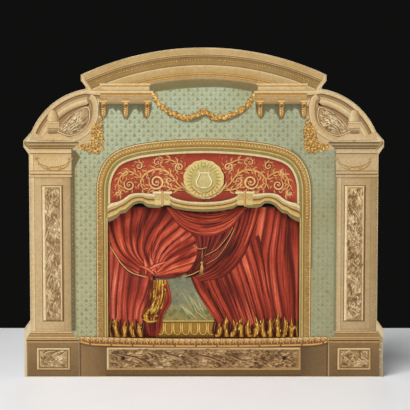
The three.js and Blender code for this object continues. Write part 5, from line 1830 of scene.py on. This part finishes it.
def make_stage():
    """The table before a dark ground, soft light from the front left, and the camera."""
    make_table()
    scene, world = bpy.context.scene, bpy.data.worlds.new("dark_room")
    world.use_nodes = True
    background = world.node_tree.nodes["Background"].inputs
    background["Color"].default_value, background["Strength"].default_value = ROOM_COLOUR, sizes().room_light
    scene.world = world
    for name, place, target, share, size, colour in LIGHTS:
        light = bpy.data.lights.new(name, "AREA")
        light.energy, light.size, light.color = sizes().key_power * share, size, colour
        aimed(name, light, place, target)
    camera = bpy.data.cameras.new("front_camera")
    camera.lens, camera.clip_start, camera.clip_end = LENS, NEAREST_SEEN, FARTHEST_SEEN
    scene.camera = aimed("front_camera", camera, CAMERA_PLACE, CAMERA_TARGET)
    scene.view_settings.view_transform = "Standard"


# Add-on


def length(name, description, default):
    """A length in metres, shown with fine steps."""
    return FloatProperty(name=name, description=description, default=default, min=0, precision=5, unit="LENGTH",
                         subtype="DISTANCE")


class ToyTheatreSettings(bpy.types.PropertyGroup):
    """Sizes, light and colours of the theatre's looks."""

    layer_step: length("Layer step", "Height of one printed layer over the last", 0.00003)
    film_thickness: length("Film thickness", "Thickness of one printed film", 0.00002)
    sprig_pitch: length("Sprig pitch", "Distance between the wallpaper's sprigs", 0.0122)
    boss_pitch: length("Boss pitch", "Distance between the bosses of the frame", 0.0069)
    bead_pitch: length("Bead pitch", "Distance between the beads of the gable", 0.0036)
    curl_pitch: length("Scroll pitch", "Distance between the scrolls of the footlight strip", 0.00808)
    rod_joint: length("Rod joint", "Distance between the joints of the footlight strip's rod", 0.029)
    strand_pitch: length("Strand pitch", "Distance between the strands of the curtain's fringe", 0.0052)
    key_power: FloatProperty(name="Key power", description="Power of the main light", default=48.5, min=0,
                             subtype="POWER")
    room_light: FloatProperty(name="Room light", description="Strength of the light all round", default=0.018, min=0)
    table_colour: FloatVectorProperty(name="Table colour", description="Colour of the table top", size=3,
                                      default=(0.935, 0.955, 0.985), min=0, max=1, subtype="COLOR")


class TOYTHEATRE_OT_materials(bpy.types.Operator):
    """Makes the materials and the trees that the other steps use."""

    bl_idname = "toy_theatre.materials"
    bl_label = "Materials and trees"

    def execute(self, context):
        make_materials()
        path_tree()
        field_tree()
        return {"FINISHED"}


class TOYTHEATRE_OT_bodies(bpy.types.Operator):
    """Gives the boards, rails, laths, cards and nails their materials."""

    bl_idname = "toy_theatre.bodies"
    bl_label = "Woods, cards and nails"

    def execute(self, context):
        for material, nodes in WOODS.items():
            for node in nodes:
                paint(node, material)
        for node, material in CARDS.items():
            paint(node, material)
        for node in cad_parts:
            if node.rsplit("_", 1)[-1] in ("nail", "brad") or node.rsplit("_", 2)[-2] in ("nail", "brad"):
                paint(node, "dark steel")
        return {"FINISHED"}


class TOYTHEATRE_OT_wall(bpy.types.Operator):
    """Prints the wallpapered wall and the base."""

    bl_idname = "toy_theatre.wall"
    bl_label = "Wall and base"

    def execute(self, context):
        print_wall()
        print_base()
        return {"FINISHED"}


class TOYTHEATRE_OT_frame(bpy.types.Operator):
    """Prints the gilt frame round the opening."""

    bl_idname = "toy_theatre.frame"
    bl_label = "Frame"

    def execute(self, context):
        print_frame()
        return {"FINISHED"}


class TOYTHEATRE_OT_valance(bpy.types.Operator):
    """Prints the valance and its medallion."""

    bl_idname = "toy_theatre.valance"
    bl_label = "Valance"

    def execute(self, context):
        print_valance()
        print_medallion()
        return {"FINISHED"}


class TOYTHEATRE_OT_gable(bpy.types.Operator):
    """Prints the gable and the garlands under it."""

    bl_idname = "toy_theatre.gable"
    bl_label = "Gable and garlands"

    def execute(self, context):
        print_gable()
        print_garlands()
        return {"FINISHED"}


class TOYTHEATRE_OT_sides(bpy.types.Operator):
    """Prints both shoulders, pilasters and plinths."""

    bl_idname = "toy_theatre.sides"
    bl_label = "Shoulders, pilasters and plinths"

    def execute(self, context):
        for name, side in SIDES:
            print_plinth(name, side)
            print_pilaster(name, side)
            print_shoulder(name, side)
        print_worn_and_lit_edge()
        return {"FINISHED"}


class TOYTHEATRE_OT_curtain(bpy.types.Operator):
    """Prints the curtain on its sliding card."""

    bl_idname = "toy_theatre.curtain"
    bl_label = "Curtain"

    def execute(self, context):
        print_curtain()
        return {"FINISHED"}


class TOYTHEATRE_OT_strip(bpy.types.Operator):
    """Prints the gilt strip across the foot of the opening."""

    bl_idname = "toy_theatre.strip"
    bl_label = "Footlight strip"

    def execute(self, context):
        make_strip_card()
        print_strip()
        return {"FINISHED"}


class TOYTHEATRE_OT_tapes(bpy.types.Operator):
    """Makes the linen hinges of the wings."""

    bl_idname = "toy_theatre.tapes"
    bl_label = "Wing hinges"

    def execute(self, context):
        for name, side in SIDES:
            make_tape(name, side)
        return {"FINISHED"}


class TOYTHEATRE_OT_stage(bpy.types.Operator):
    """Sets the table, the lights and the camera."""

    bl_idname = "toy_theatre.stage"
    bl_label = "Table, lights and camera"

    def execute(self, context):
        make_stage()
        return {"FINISHED"}


STEPS = (TOYTHEATRE_OT_materials, TOYTHEATRE_OT_bodies, TOYTHEATRE_OT_wall, TOYTHEATRE_OT_frame,
         TOYTHEATRE_OT_valance, TOYTHEATRE_OT_gable, TOYTHEATRE_OT_sides, TOYTHEATRE_OT_curtain,
         TOYTHEATRE_OT_strip, TOYTHEATRE_OT_tapes, TOYTHEATRE_OT_stage)


class TOYTHEATRE_PT_panel(bpy.types.Panel):
    """Lists the theatre's settings and steps."""

    bl_label = "Toy Theatre"
    bl_space_type = "VIEW_3D"
    bl_region_type = "UI"
    bl_category = "Toy Theatre"

    def draw(self, context):
        settings = context.scene.toy_theatre
        for name in settings.bl_rna.properties.keys():
            if name not in ("rna_type", "name"):
                self.layout.prop(settings, name)
        for step in STEPS:
            self.layout.operator(step.bl_idname)


CLASSES = (ToyTheatreSettings, *STEPS, TOYTHEATRE_PT_panel)


def register():
    """Makes the steps, the settings and the panel known."""
    for cls in CLASSES:
        bpy.utils.register_class(cls)
    bpy.types.Scene.toy_theatre = PointerProperty(type=ToyTheatreSettings)


def unregister():
    """Takes them away again."""
    del bpy.types.Scene.toy_theatre
    for cls in reversed(CLASSES):
        bpy.utils.unregister_class(cls)


def main():
    """Runs every step in order."""
    register()
    for step in STEPS:
        group, name = step.bl_idname.split(".")
        getattr(getattr(bpy.ops, group), name)()


if __name__ == "__main__":
    main()
